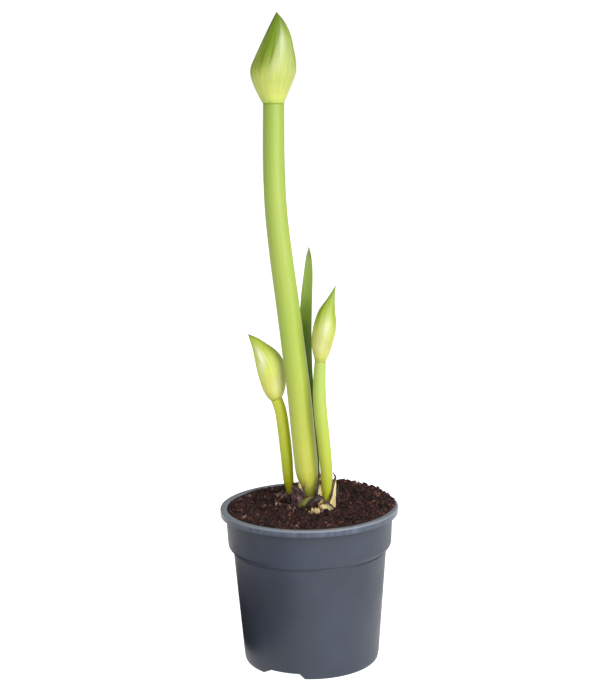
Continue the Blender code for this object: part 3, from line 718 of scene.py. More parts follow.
def notch_cutter(index):
    """A wedge with sloping ends that opens the foot ring."""
    bm = bmesh.new()
    bmesh.ops.create_cube(bm, size=1.0)
    inner, outer = FOOT_RADIUS - FOOT_WIDTH - CUT_PAST, BODY_LOW_RADIUS + CUT_PAST
    flare = (NOTCH_FOOT_WIDTH - NOTCH_TOP_WIDTH) / NOTCH_HEIGHT
    for v in bm.verts:
        top = v.co.z > 0
        width = NOTCH_TOP_WIDTH if top else NOTCH_FOOT_WIDTH + flare
        z = NOTCH_HEIGHT if top else -1.0
        shift = NOTCH_TOP_SHIFT if top else 0.0
        side = math.copysign(width / 2, v.co.y) + shift
        v.co = Vector((outer if v.co.x > 0 else inner, side, z)) * MM
    angle = math.radians(NOTCH_FIRST + FRONT + 360.0 * index / NOTCHES)
    bm.transform(Matrix.Rotation(angle, 4, "Z"))
    return object_from(bm, "notch_cutter", MATERIALS["pot"])


def drain_cutter(x, y):
    """A round bar that opens a drain hole in the floor."""
    bm = bmesh.new()
    bmesh.ops.create_cone(
        bm, cap_ends=True, segments=32, radius1=DRAIN_RADIUS * MM, radius2=DRAIN_RADIUS * MM,
        depth=6 * FLOOR_THICK * MM,
    )
    bm.transform(Matrix.Translation((x * MM, y * MM, (FLOOR_UNDER_Z + FLOOR_THICK) * MM)))
    return object_from(bm, "drain_cutter", MATERIALS["pot"])


def build_pot():
    """The pot: turned in one piece, then notched at the foot and drained."""
    pot = turned("moulded_pot", pot_profile(), POT_STEPS)
    cutters = [notch_cutter(i) for i in range(NOTCHES)] + [drain_cutter(0.0, 0.0)]
    for i in range(DRAIN_HOLES):
        a = 2 * math.pi * i / DRAIN_HOLES
        cutters.append(drain_cutter(DRAIN_RING * math.cos(a), DRAIN_RING * math.sin(a)))
    group = bpy.data.collections.new("pot_cutters")
    for cutter in cutters:
        group.objects.link(cutter)
    cut = pot.modifiers.new("Cut", "BOOLEAN")
    cut.operation = "DIFFERENCE"
    cut.operand_type = "COLLECTION"
    cut.collection = group
    pot = baked(pot)
    for cutter in cutters:
        bpy.data.objects.remove(cutter, do_unlink=True)
    pot.data.shade_smooth()
    pot.data.set_sharp_from_angle(angle=math.radians(SHARP_FROM))
    placed(pot, "pot")


def soil_radius(angle):
    """How far out the soil reaches at an angle."""
    uneven = 0.4 * noise.noise(Vector((4 * math.cos(angle), 4 * math.sin(angle), 2.2)))
    return SOIL_RADIUS + SOIL_SPILL * spilled(angle) + uneven


def spilled(angle):
    """How much soil lies over the rim at an angle, from none to 1."""
    near = math.cos(angle - math.radians(SOIL_SPILL_WAY))
    return held((near - 0.35) / 0.35)


def soil_height(x, y):
    """Height of the soil's surface: heaped in places and lumpy."""
    angle = math.atan2(y, x)
    share = min(math.hypot(x, y) / soil_radius(angle), 1.0)
    z = SOIL_EDGE_Z + SOIL_EDGE_RISE * spilled(angle) + SOIL_RISE * (1.0 - share**8)
    for heap_x, heap_y, rise, spread in SOIL_HEAPS:
        away = math.hypot(x - heap_x, y - heap_y) / spread
        z += rise * math.exp(-(away**2)) * (1.0 - share**16)
    return z + min(1.0, 9.0 * (1.0 - share) + 0.15) * soil_relief(x, y)


def soil_relief(x, y):
    """The lumps, clods, crumbs and grit of the soil, in millimetres."""
    lumps = noise.noise(Vector((x / 9.0, y / 9.0, 3.1)))
    clods = 1.0 - 2.6 * abs(noise.noise(Vector((x / 4.2, y / 4.2, 8.7))))
    crumbs = noise.noise(Vector((x / 1.7, y / 1.7, 5.2)))
    grit = noise.noise(Vector((x / 0.8, y / 0.8, 1.4)))
    return 1.3 * lumps + 0.8 * clods + 0.8 * crumbs + 0.35 * grit


def soil_body():
    """The soil's top as a fine relief, closed below along the inside of the pot."""
    bm = bmesh.new()
    tone = bm.verts.layers.float.new("tone")
    top = bm.verts.layers.float.new("top")
    rows = []
    for i in range(1, SOIL_RINGS + 1):
        row = []
        for j in range(SOIL_ROUND):
            a = 2 * math.pi * (j + 0.5 * (i % 2)) / SOIL_ROUND
            r = soil_radius(a) * i / SOIL_RINGS
            x, y = r * math.cos(a), r * math.sin(a)
            v = bm.verts.new((x * MM, y * MM, soil_height(x, y) * MM))
            # Painted shade: the soil is made darker in its pits and lighter on its lumps, by their
            # height
            v[tone] = 0.4 + 0.22 * soil_relief(x, y)
            v[top] = 1.0 if i < SOIL_RINGS - 2 or spilled(a) > 0.0 else 0.0
            row.append(v)
        rows.append(row)
    below = [
        (COLLAR_TOP_RADIUS - POT_WALL, POT_HEIGHT - 1.6),
        (COLLAR_TOP_RADIUS - POT_WALL - 0.4, 106.0),
        (COLLAR_LOW_RADIUS - POT_WALL - 0.5, COLLAR_LOW_Z + 1.4),
        (COLLAR_LOW_RADIUS - POT_WALL - 2.9, COLLAR_LOW_Z - 2.4),
        (BODY_TOP_RADIUS - POT_WALL - 0.6, BODY_TOP_Z - 0.4),
        (BODY_LOW_RADIUS - POT_WALL - 1.6, 8.4),
    ]
    for r, z in below:
        row = []
        for j in range(SOIL_ROUND):
            a = 2 * math.pi * j / SOIL_ROUND
            row.append(bm.verts.new((r * math.cos(a) * MM, r * math.sin(a) * MM, z * MM)))
        rows.append(row)
    for low, high in zip(rows, rows[1:]):
        for j in range(SOIL_ROUND):
            k = (j + 1) % SOIL_ROUND
            bm.faces.new((low[j], low[k], high[k], high[j]))
    for row in (rows[0], rows[-1]):
        centre = bm.verts.new(sum((v.co for v in row), Vector()) / len(row))
        centre[tone] = 0.4
        for j in range(SOIL_ROUND):
            bm.faces.new((row[j], row[(j + 1) % SOIL_ROUND], centre))
    bmesh.ops.recalc_face_normals(bm, faces=bm.faces)
    return object_from(bm, "peat_soil", MATERIALS["peat"])


def crumb_shapes(name, rounds, rough, stretch, material):
    """Four lumps, one millimetre across, in a hidden collection: crumbs, clods or chips."""
    lumps = []
    for k in range(4):
        bm = bmesh.new()
        bmesh.ops.create_uvsphere(bm, u_segments=rounds, v_segments=rounds - 1, radius=0.5 * MM)
        for v in bm.verts:
            around = v.co / MM
            push = noise.noise_vector(around * 1.7 + Vector((11.0 * k, 0, 0)))
            push += 0.5 * noise.noise_vector(around * 5.0 + Vector((0, 7.0 * k, 0)))
            v.co += push * rough * MM
            v.co = v.co * Vector(stretch)
        lumps.append(object_from(bm, f"{name}_{k}", material))
    return hidden(name, lumps)


def fibre_shapes():
    """Four bent threads, ten millimetres long, in a hidden collection."""
    threads = []
    for k in range(4):
        bends = [noise.noise_vector(Vector((i * 0.9, 4.3 * k, 1.7))) for i in range(7)]

        def place(u, v):
            i = min(int(u * 6), 5)
            bend = bends[i].lerp(bends[i + 1], u * 6 - i)
            a = 2 * math.pi * v
            thick = 0.16 * (1.0 - 0.6 * u)
            spot = Vector((10.0 * (u - 0.5), 2.4 * bend.y, 0.9 * bend.z + 0.3))
            spot += Vector((0.0, math.cos(a), math.sin(a))) * thick
            return spot, spot, {"share": u}

        threads.append(skinned(f"fibre_{k}", 6, 4, place, MATERIALS["fibre"]))
    return hidden("fibre_shapes", threads)


def scatter_tree(name, shapes, material):
    """Geometry Nodes that strew a collection's shapes over a surface's top, most of them small."""
    tree = bpy.data.node_groups.new(name, "GeometryNodeTree")
    sockets = {"Geometry": "Geometry", "Density": "Float", "Smallest": "Float", "Largest": "Float",
               "Tilt": "Float", "Seed": "Int"}
    for label, kind in sockets.items():
        tree.interface.new_socket(label, in_out="INPUT", socket_type=f"NodeSocket{kind}")
    tree.interface.new_socket("Geometry", in_out="OUTPUT", socket_type="NodeSocketGeometry")
    given = tree.nodes.new("NodeGroupInput").outputs
    seed = given["Seed"]
    top = add(tree, "GeometryNodeInputNamedAttribute", {"Name": "top"}, data_type="FLOAT")
    on_top = add(
        tree, "FunctionNodeCompare", {0: top, 1: 0.9}, data_type="FLOAT", operation="GREATER_THAN",
    )
    points = add(
        tree, "GeometryNodeDistributePointsOnFaces",
        {"Mesh": given["Geometry"], "Selection": on_top, "Density": given["Density"], "Seed": seed},
    )
    draw = add(tree, "FunctionNodeRandomValue", {"Seed": seed}, 1, data_type="FLOAT")
    mostly_small = add(tree, "Math", (draw, 3.0), operation="POWER")
    size = add(tree, "MapRange", (mostly_small, 0.0, 1.0, given["Smallest"], given["Largest"]))
    other_way = add(tree, "Math", (given["Tilt"], -1.0), operation="MULTIPLY")
    turn_low = add(tree, "CombineXYZ", {"X": other_way})
    turn_high = add(tree, "CombineXYZ", {"X": given["Tilt"], "Y": given["Tilt"], "Z": FULL_TURN})
    turn = add(
        tree, "FunctionNodeRandomValue", {0: turn_low, 1: turn_high, "Seed": seed},
        data_type="FLOAT_VECTOR",
    )
    shape = add(
        tree, "GeometryNodeCollectionInfo",
        {"Collection": shapes, "Separate Children": True, "Reset Children": True},
    )
    strewn = add(
        tree, "GeometryNodeInstanceOnPoints",
        {"Points": points, "Instance": shape, "Pick Instance": True, "Rotation": turn, "Scale": size},
    )
    tone = add(tree, "FunctionNodeRandomValue", {"Seed": 3}, 1, data_type="FLOAT")
    toned = add(
        tree, "GeometryNodeStoreNamedAttribute", {"Geometry": strewn, "Name": "tone", "Value": tone},
        data_type="FLOAT", domain="INSTANCE",
    )
    real = add(tree, "GeometryNodeRealizeInstances", {"Geometry": toned})
    dressed = add(tree, "GeometryNodeSetMaterial", {"Geometry": real, "Material": material})
    feed(tree.nodes.new("NodeGroupOutput"), {"Geometry": dressed})
    return tree


def strew(name, ground, tree, **values):
    """A new piece made by the scatter tree from the ground's surface."""
    obj = bpy.data.objects.new(name, ground.data.copy())
    SCENE.collection.objects.link(obj)
    modifier = obj.modifiers.new("Strew", "NODES")
    modifier.node_group = tree
    for item in tree.interface.items_tree:
        if item.in_out == "INPUT" and item.name in values:
            modifier[item.identifier] = values[item.name]
    made = baked(obj)
    made.data.shade_flat()
    return made


def build_soil():
    """The soil, with what lies loose on it."""
    ground = soil_body()
    per_area = 1.0 / (math.pi * (SOIL_RADIUS * MM) ** 2)
    peat, fibre = MATERIALS["peat"], MATERIALS["fibre"]
    crumbs = crumb_shapes("crumb_shapes", 4, 0.4, (1.0, 0.9, 0.75), peat)
    clods = crumb_shapes("clod_shapes", 6, 0.5, (1.0, 0.85, 0.65), peat)
    chips = crumb_shapes("chip_shapes", 6, 0.3, (1.3, 0.7, 0.28), fibre)
    # Shapes, material, how many, smallest and largest in millimetres, tilt in radians
    strewn = [
        ("peat_crumbs", crumbs, peat, CRUMBS, 0.5, 2.3, 3.1),
        ("peat_clods", clods, peat, CLODS, 1.0, 4.2, 3.1),
        ("bark_chips", chips, fibre, CHIPS, 1.6, 4.6, 0.7),
        ("peat_fibres", fibre_shapes(), fibre, FIBRES, 0.25, 0.9, 0.5),
    ]
    for k, (name, shapes, material, count, small, large, tilt) in enumerate(strewn):
        tree = scatter_tree(f"strew_{name}", shapes, material)
        piece = strew(
            name, ground, tree, Density=count * per_area, Smallest=small, Largest=large,
            Tilt=tilt, Seed=SEED + k,
        )
        placed(piece, None)
    placed(ground, "soil")


def build_stem(key, rounds=48, lengths=150):
    """A stem: slightly flattened, with broad faint ribs along it."""
    path, length = path_through(STEMS[key])

    def place(u, v):
        x, y, z, r = path(u)
        side, depth = frame_across(heading(path, u, 0.004))
        a = 2 * math.pi * v
        ribs = 1.0 + 0.004 * math.cos(11 * a + 1.3 * math.sin(4 * u)) + 0.005 * math.cos(5 * a + 2.0)
        wander = 1.0 + 0.014 * noise.noise(Vector((math.cos(a), math.sin(a), 9.0 * u)))
        reach = r * ribs * wander
        spot = Vector((x, y, z)) + side * reach * math.cos(a)
        spot += depth * reach * STEM_DEPTH * math.sin(a)
        return spot, Vector((math.cos(a) * r, math.sin(a) * r, u * length)), {"share": u}

    stem = skinned(f"scape_{key}", lengths, rounds, place, MATERIALS[f"{key}_stem"])
    placed(stem, f"flower_stem_{key}")


def bud_frame(key):
    """The bud's foot, its line from foot to tip, and the directions across at a share of it."""
    points = STEMS[key]
    end, before = Vector(points[-1][:3]), Vector(points[-2][:3])
    foot = end - (end - before).normalized() * 0.3
    along = Vector(BUDS[key]["tip"]) - foot
    on_stem, on_bud = frame_across(end - before), frame_across(along)

    def across(t):
        mix = max(0.0, 1.0 - 5.0 * t)
        return on_bud[0].lerp(on_stem[0], mix), on_bud[1].lerp(on_stem[1], mix)

    return foot, along, across


def bud_outline(key, t):
    """The bud's half width and how far its middle lies to the right, at a share of its length."""
    outline = BUDS[key]["outline"]
    knots = [Vector((half, offset)) for _, half, offset in outline]
    return curve_at(knots, [row[0] for row in outline], t)


def bud_point(key, frame_of, t, a, lift):
    """A point on the bud at share t and angle a, lift millimetres off its outline."""
    foot, along, across = frame_of
    half, offset = bud_outline(key, t)
    side, depth = across(t)
    flat = BUDS[key]["depth"]
    flat = flat + (1.0 - flat) * max(0.0, 1.0 - 5.0 * t)
    ridges = 1.0 + math.sin(math.pi * t) * (0.008 * math.cos(9 * a) + 0.016 * math.cos(3 * a + 1.0))
    reach = max(half * ridges + lift * min(1.0, half / 3.0), 0.0)
    spot = foot + along * t
    spot += side * (offset + reach * math.cos(a)) + depth * reach * flat * math.sin(a)
    skin = Vector((math.cos(a) * BUD_ROUND, math.sin(a) * BUD_ROUND, t * along.length))
    values = {"share": t}
    for kind, (_, marks) in BUDS[key]["marks"].items():
        values[kind] = 0.0
        for at, degrees, spread, fan, strength in marks:
            apart = (math.degrees(a) - degrees + 180.0) % 360.0 - 180.0
            values[kind] += strength * math.exp(-(((t - at) / spread) ** 2) - (apart / fan) ** 2)
    return spot, skin, values


def seam_angle(key, t):
    """How far round the outer valve's first edge lies, at a share of the bud's length."""
    foot, middle, tip = BUDS[key]["seam"]
    way = foot + (middle - foot) * 2 * t if t < 0.5 else middle + (tip - middle) * (2 * t - 1)
    return math.radians(way)


def build_bud(key, lengths=72, rounds=72):
    """A closed spathe: the inner valve is a whole body, the outer one a sheet laid over it."""
    frame_of = bud_frame(key)
    lap = BUDS[key]["lap"]
    wrap = math.radians(BUDS[key]["wrap"])

    def inner(u, v):
        t = 1.0 - (1.0 - u) ** 1.15
        return bud_point(key, frame_of, t, 2 * math.pi * v, -0.5 * lap * held((t - 0.18) / 0.3))

    def outer(u, v):
        t = 0.10 + 0.90 * (1.0 - (1.0 - u) ** 1.15)
        across, front = round_sheet(v, 4.0)
        a = seam_angle(key, t) + wrap * (across + 1.0) / 2
        fade = held((t - 0.18) / 0.3)
        edge_thin = 1.0 - 0.65 * abs(across) ** 24
        top = (0.35 * lap * edge_thin + 0.15 * lap) * fade - 0.35 * lap * (1.0 - fade)
        low = -0.6 * lap * fade - 0.8 * lap * (1.0 - fade)
        return bud_point(key, frame_of, t, a, (top + low) / 2 + front * (top - low) / 2)

    valves = [
        skinned(f"spathe_{side}_{key}", lengths, rounds, place, MATERIALS[f"{key}_bud"])
        for side, place in (("inner", inner), ("outer", outer))
    ]
    placed(joined(f"bud_{key}", valves), f"flower_bud_{key}")


def blade(name, row, material, seed):
    """A torn blade: row holds the facing and the tilt of its outer face in degrees, its
    thickness, how deeply its end is torn, the radius of its curl and its middle line."""
    facing, tilt, thick, torn, curl, points = row
    path, length = path_through(points)
    turn, lean = math.radians(facing), math.radians(tilt)
    outwards = Vector((math.sin(turn), -math.cos(turn), 0.0)) * math.cos(lean)
    outwards.z = math.sin(lean)

    def place(u, v):
        s, face = round_sheet(v, 3.0)
        tear = noise.noise(Vector((2.6 * s + seed, seed * 1.7, 0.0)))
        tear += 0.6 * noise.noise(Vector((7.0 * s + seed, 3.0, seed)))
        w = min(1.0, u * max(0.2, 1.0 - torn + torn * tear))
        x, y, z, half = path(w)
        half = max(half, 0.03)
        across = heading(path, w, 0.02).normalized().cross(outwards).normalized()
        bow = half * half * s * s / (2 * curl)
        wave = 0.9 * noise.noise(Vector((1.2 * s + seed, 0.22 * w * length, seed)))
        wave += 0.4 * noise.noise(Vector((4.0 * s, 0.6 * w * length, seed)))
        ragged = 1.0 + 0.5 * torn * noise.noise(Vector((0.6 * w * length, seed, 4.0)))
        wall = 0.5 * thick * face * (1.0 - 0.75 * abs(s) ** 3) * min(1.0, (1.0 - u) * 6.0)
        spot = Vector((x, y, z)) + across * half * s * ragged
        spot -= outwards * (bow + wave * min(1.0, half / 2.0) - wall)
        values = {"share": w, "edge": max(abs(s) ** 4, u**6)}
        return spot, Vector((s * half, 0.6 * face, w * length)), values

    return skinned(name, 26, 24, place, material)


def blades(name, rows, kind, step, start):
    """A torn blade for each row, each with its own seed."""
    return [blade(f"{name}_{i}", row, MATERIALS[kind], step * i + start) for i, row in enumerate(rows)]


def build_leaf():
    """The strap leaf: a shallow channel with a blunt keel, thin at its edges."""
    path, length = path_through(LEAF)
    turn = math.radians(LEAF_TURN)
    across = Vector((math.cos(turn), math.sin(turn), 0.0))

    def place(u, v):
        x, y, z, half = path(u)
        half = max(half, 0.05)
        s, face = round_sheet(v, 3.0)
        trough = half * LEAF_CHANNEL * s * s
        wall = 0.5 * LEAF_THICK * (1.0 - 0.7 * s * s) * min(1.0, (1.0 - u) * 14.0)
        lean = 0.5 * noise.noise(Vector((0.0, 0.0, 5.0 * u)))
        spot = Vector((x, y, z)) + across * half * s + Vector((0.0, -1.0, 0.0)) * (trough + wall * face)
        spot.x += lean * 0.3
        return spot, Vector((s * half, 0.8 * face, u * length)), {"share": u}

    placed(skinned("strap_leaf", 110, 36, place, MATERIALS["leaf"]), "leaf")


# Blades on the neck: facing and tilt of the outer face in degrees, thickness, depth of the torn
# end as a share of the length, radius of the curl, and the middle line with half widths
SCALES = [
    (-5, 0, 1.2, 0.06, 9, [(0.2, -8.2, 107, 6.6), (0.2, -8.6, 117, 5.6), (0.4, -9, 125, 4.2)]),
    (-8, 0, 2.6, 0.12, 9, [(4.6, -16, 107, 4.2), (4.6, -17, 113, 3.8), (4.6, -17.4, 119.4, 2.8)]),
    (18, 0, 2.6, 0.12, 9, [(11.6, -13.4, 107, 5), (11.6, -14.4, 114, 4.6), (11.8, -14.6, 122, 3.2)]),
    (-14, 0, 1.8, 0.15, 9, [(0.9, -16.2, 107, 3.2), (0.9, -17.2, 112.5, 2.4), (1, -17, 116.4, 1.5)]),
    (0, 0, 1.2, 0.04, 9, [
        (7, -9.6, 107, 3.4), (7.2, -9.4, 120, 3), (7.8, -8.4, 128, 1.9),
        (8.3, -7.2, 133, 1.2), (8.6, -6.2, 135.6, 0.4),
    ]),
    (40, 0, 1.3, 0.02, 9, [
        (17.4, -10.6, 107, 4.4), (17.2, -10.8, 114, 3.7), (17.6, -10.2, 120, 2.6),
        (18.4, -9.2, 126, 1.6), (19.1, -7.8, 133.5, 1), (19.3, -7.2, 136.6, 0.6),
        (17.7, -7.2, 140.2, 0.2),
    ]),
    (-25, 0, 1.1, 0.2, 9, [
        (-4, -11.6, 107, 2.4), (-4.4, -11.2, 122, 1.7), (-6.6, -8.6, 131, 1.1),
        (-8.8, -5, 136, 0.9), (-9.6, -3.6, 139.6, 0.3),
    ]),
    (5, 0, 1.2, 0.05, 9, [(8.6, 7.6, 107, 2.6), (8.3, 7, 125, 1.8), (8.1, 6.8, 137.8, 0.5)]),
    (200, 0, 1.3, 0.2, 9, [(-4, 15, 107, 4.4), (-4.4, 15.4, 118, 3.6), (-4.9, 15.8, 126, 1.5)]),
    (140, 0, 1.3, 0.2, 9, [(14.8, 13.6, 107, 4.2), (14.5, 13.2, 117, 3.4), (14.1, 12.8, 124, 1.5)]),
]
GREEN_SCALES = [
    (-20, 25, 1.2, 0.05, 9, [
        (6, -13.6, 123.4, 0.8), (2.4, -15.4, 123.4, 1.9), (-2, -16.2, 121.6, 2.6),
        (-6.4, -15, 119.6, 2.2), (-10, -13, 117, 0.8),
    ]),
    (-15, 20, 1.1, 0.05, 9, [
        (2.6, -16.2, 120.6, 1.4), (-0.6, -17, 118, 1.5), (-3.6, -16.4, 114.6, 0.8),
    ]),
]
STRIPS = [
    (-40, 30, 0.7, 0.3, 8, [
        (-3, -14.4, 121, 1.4), (-6, -13.4, 127, 2.1), (-10.2, -12, 130.6, 2.2),
        (-14.2, -9.6, 132.8, 1.8), (-16.6, -7.6, 132.4, 0.8),
    ]),
    (-52, 10, 0.7, 0.3, 8, [(-15.2, -7.4, 113, 2.6), (-15.4, -7.8, 122, 2.2), (-14, -7.8, 129, 1.2)]),
    (-32, 0, 0.8, 0.3, 20, [
        (-9.8, -11, 106, 4.6), (-10, -12, 118, 4.4), (-8.6, -11.6, 125, 3.6), (-8.6, -10.8, 130.6, 2),
    ]),
    (-18, 0, 0.8, 0.3, 20, [(-4.4, -14.2, 107, 4), (-4.8, -14.6, 117, 3.8), (-4.2, -13.6, 125.6, 2.2)]),
    (-10, 10, 0.8, 0.08, 12, [
        (-4.2, -16.4, 114.6, 1), (-1.2, -18, 118.4, 2.1), (2.6, -19, 121.6, 2.6),
        (6.6, -18.6, 124.4, 2.6), (10, -17, 126.4, 1.2),
    ]),
    (15, 0, 0.7, 0, 12, [
        (8.6, -17.6, 125.6, 0.8), (12.8, -17, 121.2, 0.6), (16.6, -15.4, 117.6, 0.6),
        (19.6, -13.2, 113, 0.4),
    ]),
    (-20, 0, 0.8, 0.05, 12, [
        (5.2, -10.4, 108, 1.7), (5.2, -10.4, 123, 1.4), (6.4, -9.2, 130, 0.9), (8.4, -7, 136.4, 0.6),
    ]),
    (40, 0, 0.8, 0, 12, [
        (14, -12.4, 108, 1), (14.5, -12.6, 119, 0.8), (16.6, -11.2, 126, 0.7),
        (18.3, -9.2, 133.4, 0.9), (19.5, -7.8, 137.2, 0.9), (17.7, -7.5, 140.6, 0.3),
    ]),
    (75, 0, 0.8, 0.1, 12, [
        (21.4, -2.4, 107, 2.8), (21.4, -2, 118, 2.4), (21.5, -0.8, 126, 1.6), (21.6, -0.4, 131.8, 0.5),
    ]),
    (55, 0, 0.8, 0.15, 12, [(21.4, -7, 107, 2.8), (22.2, -6.6, 117, 2.4), (22.2, -5.8, 123, 1.2)]),
    (128, 0, 0.8, 0.2, 20, [(20.9, 18.8, 103, 4.4), (20.6, 18.6, 116, 3.4), (19.2, 17.4, 124, 1)]),
    (165, 0, 0.8, 0.2, 20, [(8.5, 27, 103, 4.6), (8.2, 26, 118, 3.6), (7.8, 24, 129, 0.9)]),
    (-160, 0, 0.8, 0.2, 20, [(-5.5, 26.4, 103, 4.8), (-5.6, 25.6, 118, 3.4), (-6.2, 24.4, 125, 1.2)]),
    (-115, 0, 0.8, 0.2, 20, [(-18.6, 14.3, 103, 4.4), (-19.2, 14.4, 118, 3.2), (-20.2, 14.4, 124, 1)]),
    (-78, 0, 0.8, 0.2, 20, [(-20.3, -0.3, 103, 3.8), (-21, -0.8, 118, 2.8), (-22.6, -1.6, 123, 1)]),
]
SHREDS = 26
SCRAPS = 46
RING_RADIUS = 23.3
RING_THICK = 0.9
RING_TOP = 111.0
RING_FOOT = 102.0


def build_bulb():
    """The bulb with its neck and the cut scales that stand on it."""
    profile = [
        (0.0, NECK_TOP_Z), (9.0, NECK_TOP_Z - 0.6), (16.0, NECK_TOP_Z - 2.8), (21.0, NECK_EDGE_Z),
        (NECK_RADIUS, NECK_EDGE_Z - 2.0), (NECK_RADIUS, 101.0), (NECK_RADIUS + 2.2, 96.0),
        (30.5, 87.0), (38.0, 77.0), (BULB_RADIUS - 0.4, 66.0), (BULB_RADIUS, 57.0), (39.0, 45.0),
        (31.0, 36.0), (20.0, 30.5), (15.0, 28.0), (14.0, 24.0), (0.0, 23.0),
    ]
    path, _ = path_through([(r, 0.0, z) for r, z in profile])

    def body(u, v):
        r, _, z = path(u)
        a = 2 * math.pi * v
        ridge = 0.35 * noise.noise(Vector((7 * math.cos(a), 7 * math.sin(a), z / 60.0)))
        r = max(r + (ridge if r > 4.0 else 0.0), 0.0) if 0.0 < u < 1.0 else 0.0
        straight = Vector((20 * math.cos(a), 20 * math.sin(a), z))
        return Vector((*by_bulb(r, a), z)), straight, {"share": 0.2, "edge": 0.0}

    pieces = [skinned("bulb_body", 90, 96, body, MATERIALS["flesh"])]
    pieces += blades("scale", SCALES, "flesh", 3.7, 1.0)
    placed(joined("bulb_and_scales", pieces), "bulb")
    green = blades("green", GREEN_SCALES, "green_scale", 2.3, 6.0)
    placed(joined("green_scales", green), None)


def by_bulb(reach, angle):
    """Where a place round the bulb's middle lies, across and in depth."""
    return BULB_AT[0] + reach * math.cos(angle), BULB_AT[1] + reach * math.sin(angle)


def draws(piece, kind, count):
    """Fixed random numbers from 0 to 1 for one small piece."""
    spots = [Vector((piece + 0.5, k + 0.5, kind + 0.5)) for k in range(count)]
    return [(noise.cell(spot) + 1.0) / 2.0 for spot in spots]


def scrap_rows():
    """Small curled bits of tunic that stick out of the soil round the left of the neck."""
    rows = []
    for i in range(SCRAPS):
        draw = draws(i, 3, 6)
        angle = 2 * math.pi * draw[0] if i % 4 == 0 else math.radians(150.0 + 130.0 * draw[0])
        x, y = by_bulb(RING_RADIUS - 4.0 + 9.0 * draw[1], angle)
        z = soil_height(x, y)
        lean = Vector((draw[2] - 0.5, draw[3] - 0.5)) * 5.0
        half, tall = 0.5 + 1.1 * draw[4], 0.8 + 2.4 * draw[5]
        points = [
            (x, y, z - 2.0, half), (x + 0.4 * lean.x, y + 0.4 * lean.y, z + 0.5 * tall, half),
            (x + lean.x, y + lean.y, z + tall, 0.4 * half),
        ]
        rows.append((360.0 * draw[2], 60.0 * draw[4] - 10.0, 0.6, 0.15, 5, points))
    return rows


def shred_rows():
    """Ragged shreds of tunic that crowd the left of the neck and lean every way."""
    rows = []
    for i in range(SHREDS):
        draw = draws(i, 7, 7)
        angle = math.radians(221.0 + 27.0 * draw[0])
        x, y = by_bulb(RING_RADIUS - 7.5 + 5.5 * draw[1], angle)
        top = 125.0 + 14.0 * draw[2]
        lean_x, lean_y = 15.0 * (draw[3] - 0.5), 8.0 * (draw[4] - 0.6)
        half = 0.9 + 1.2 * draw[5]
        points = [
            (x, y, RING_TOP, half),
            (x + 0.3 * lean_x, y + 0.3 * lean_y, 0.5 * (top + RING_TOP), half),
            (x + lean_x, y + lean_y, top, 0.5 * half),
        ]
        facing = 90.0 + math.degrees(angle) - 360.0
        rows.append((facing + 150.0 * (draw[6] - 0.5), 80.0 * (draw[4] - 0.4), 0.6, 0.4, 3, points))
    return rows


def build_tunic():
    """The dry tunic: a thin ring round the neck with torn strips that stand up from it."""

    def ring(u, v):
        a = 2 * math.pi * u
        w = 2 * math.pi * v
        top = RING_TOP + 1.2 * noise.noise(Vector((3 * math.cos(a), 3 * math.sin(a), 0.0)))
        r = RING_RADIUS + 0.5 * RING_THICK * math.cos(w)
        z = (top + RING_FOOT) / 2 + (top - RING_FOOT) / 2 * math.sin(w)
        straight = Vector((RING_RADIUS * a, 0.0, z))
        return Vector((*by_bulb(r, a), z)), straight, {"share": 0.1, "edge": 0.0}

    pieces = [skinned("tunic_ring", 120, 16, ring, MATERIALS["tunic"])]
    pieces += blades("strip", STRIPS, "tunic", 5.1, 2.0)
    placed(joined("tunic_strips", pieces), "bulb_tunic")
    placed(joined("tunic_shreds", blades("shred", shred_rows(), "shred", 2.9, 3.0)), None)
    placed(joined("tunic_scraps", blades("scrap", scrap_rows(), "scrap", 1.9, 4.0)), None)


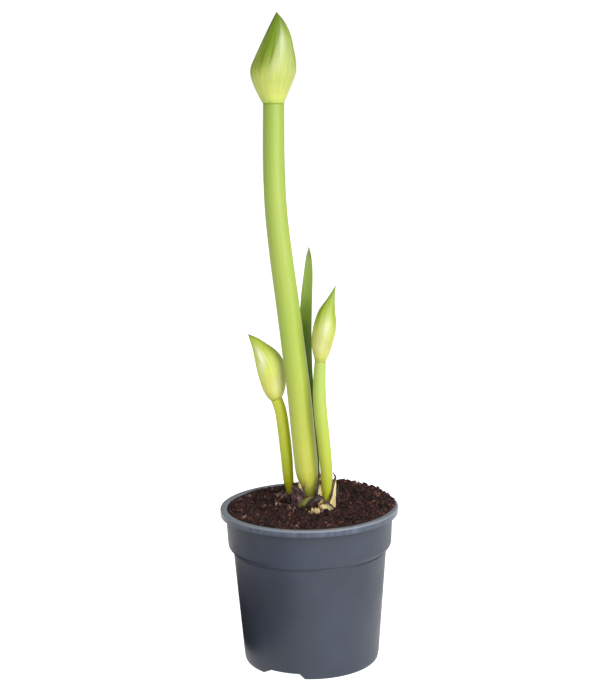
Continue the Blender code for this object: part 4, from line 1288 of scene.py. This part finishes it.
def build_camera():
    """The camera, at the photograph's viewing angle."""
    camera = bpy.data.objects.new("camera", bpy.data.cameras.new("camera"))
    camera.data.lens = CAMERA_LENS
    camera.data.clip_start = 0.01
    turn = Matrix.Rotation(math.radians(CAMERA_TURN), 4, "Z")
    tilt = Matrix.Rotation(math.radians(90.0 - CAMERA_DOWN), 4, "X")
    roll = Matrix.Rotation(math.radians(CAMERA_ROLL), 4, "Z")
    camera.matrix_world = Matrix.Translation(Vector(CAMERA_AT) * MM) @ turn @ tilt @ roll
    SCENE.collection.objects.link(camera)
    SCENE.camera = camera


def softbox(name, place, size, power):
    """A round softbox, in metres, that is aimed at the plant."""
    light = bpy.data.lights.new(name, "AREA")
    light.shape = "DISK"
    light.size = size
    light.energy = power
    obj = bpy.data.objects.new(name, light)
    obj.location = place
    obj.rotation_euler = (Vector(LIT_POINT) - Vector(place)).to_track_quat("-Z", "Y").to_euler()
    SCENE.collection.objects.link(obj)


def build_studio():
    """A backlit white table in a white room, with a large softbox at the right, a weak one at
    the front, and a black card on the table at the left, out of view, that darkens the pot's
    left."""
    bm = bmesh.new()
    bmesh.ops.create_grid(bm, x_segments=1, y_segments=1, size=TABLE_SIZE)
    bm.transform(Matrix.Translation((0.0, 0.0, -TABLE_GAP)))
    object_from(bm, "light_table", backlit_acrylic())
    world = bpy.data.worlds.new("studio")
    world.use_nodes = True
    tree = world.node_tree
    room = tree.nodes["Background"]
    feed(room, {"Color": linear("#ffffff"), "Strength": ROOM_LIGHT})
    seen = add(tree, "Background", {"Color": linear("#ffffff"), "Strength": SEEN_LIGHT})
    from_camera = add(tree, "LightPath", out="Is Camera Ray")
    mixed = add(tree, "MixShader", {0: from_camera, 1: room.outputs[0], 2: seen})
    feed(tree.nodes["World Output"], {"Surface": mixed})
    SCENE.world = world
    softbox("key_softbox", KEY_AT, KEY_SIZE, KEY_POWER)
    softbox("front_fill", FILL_AT, FILL_SIZE, FILL_POWER)
    bm = bmesh.new()
    bmesh.ops.create_cube(bm, size=1.0)
    bm.transform(Matrix.Diagonal((*CARD_SIZE, 1.0)))
    bm.transform(Matrix.Translation(CARD_AT))
    card = object_from(bm, "black_card", black_cloth())
    card.visible_camera = False
    SCENE.view_settings.view_transform = "Standard"


build_camera()
build_pot()
build_soil()
for stem_key in STEMS:
    build_stem(stem_key)
    build_bud(stem_key)
build_leaf()
build_bulb()
build_tunic()
build_studio()
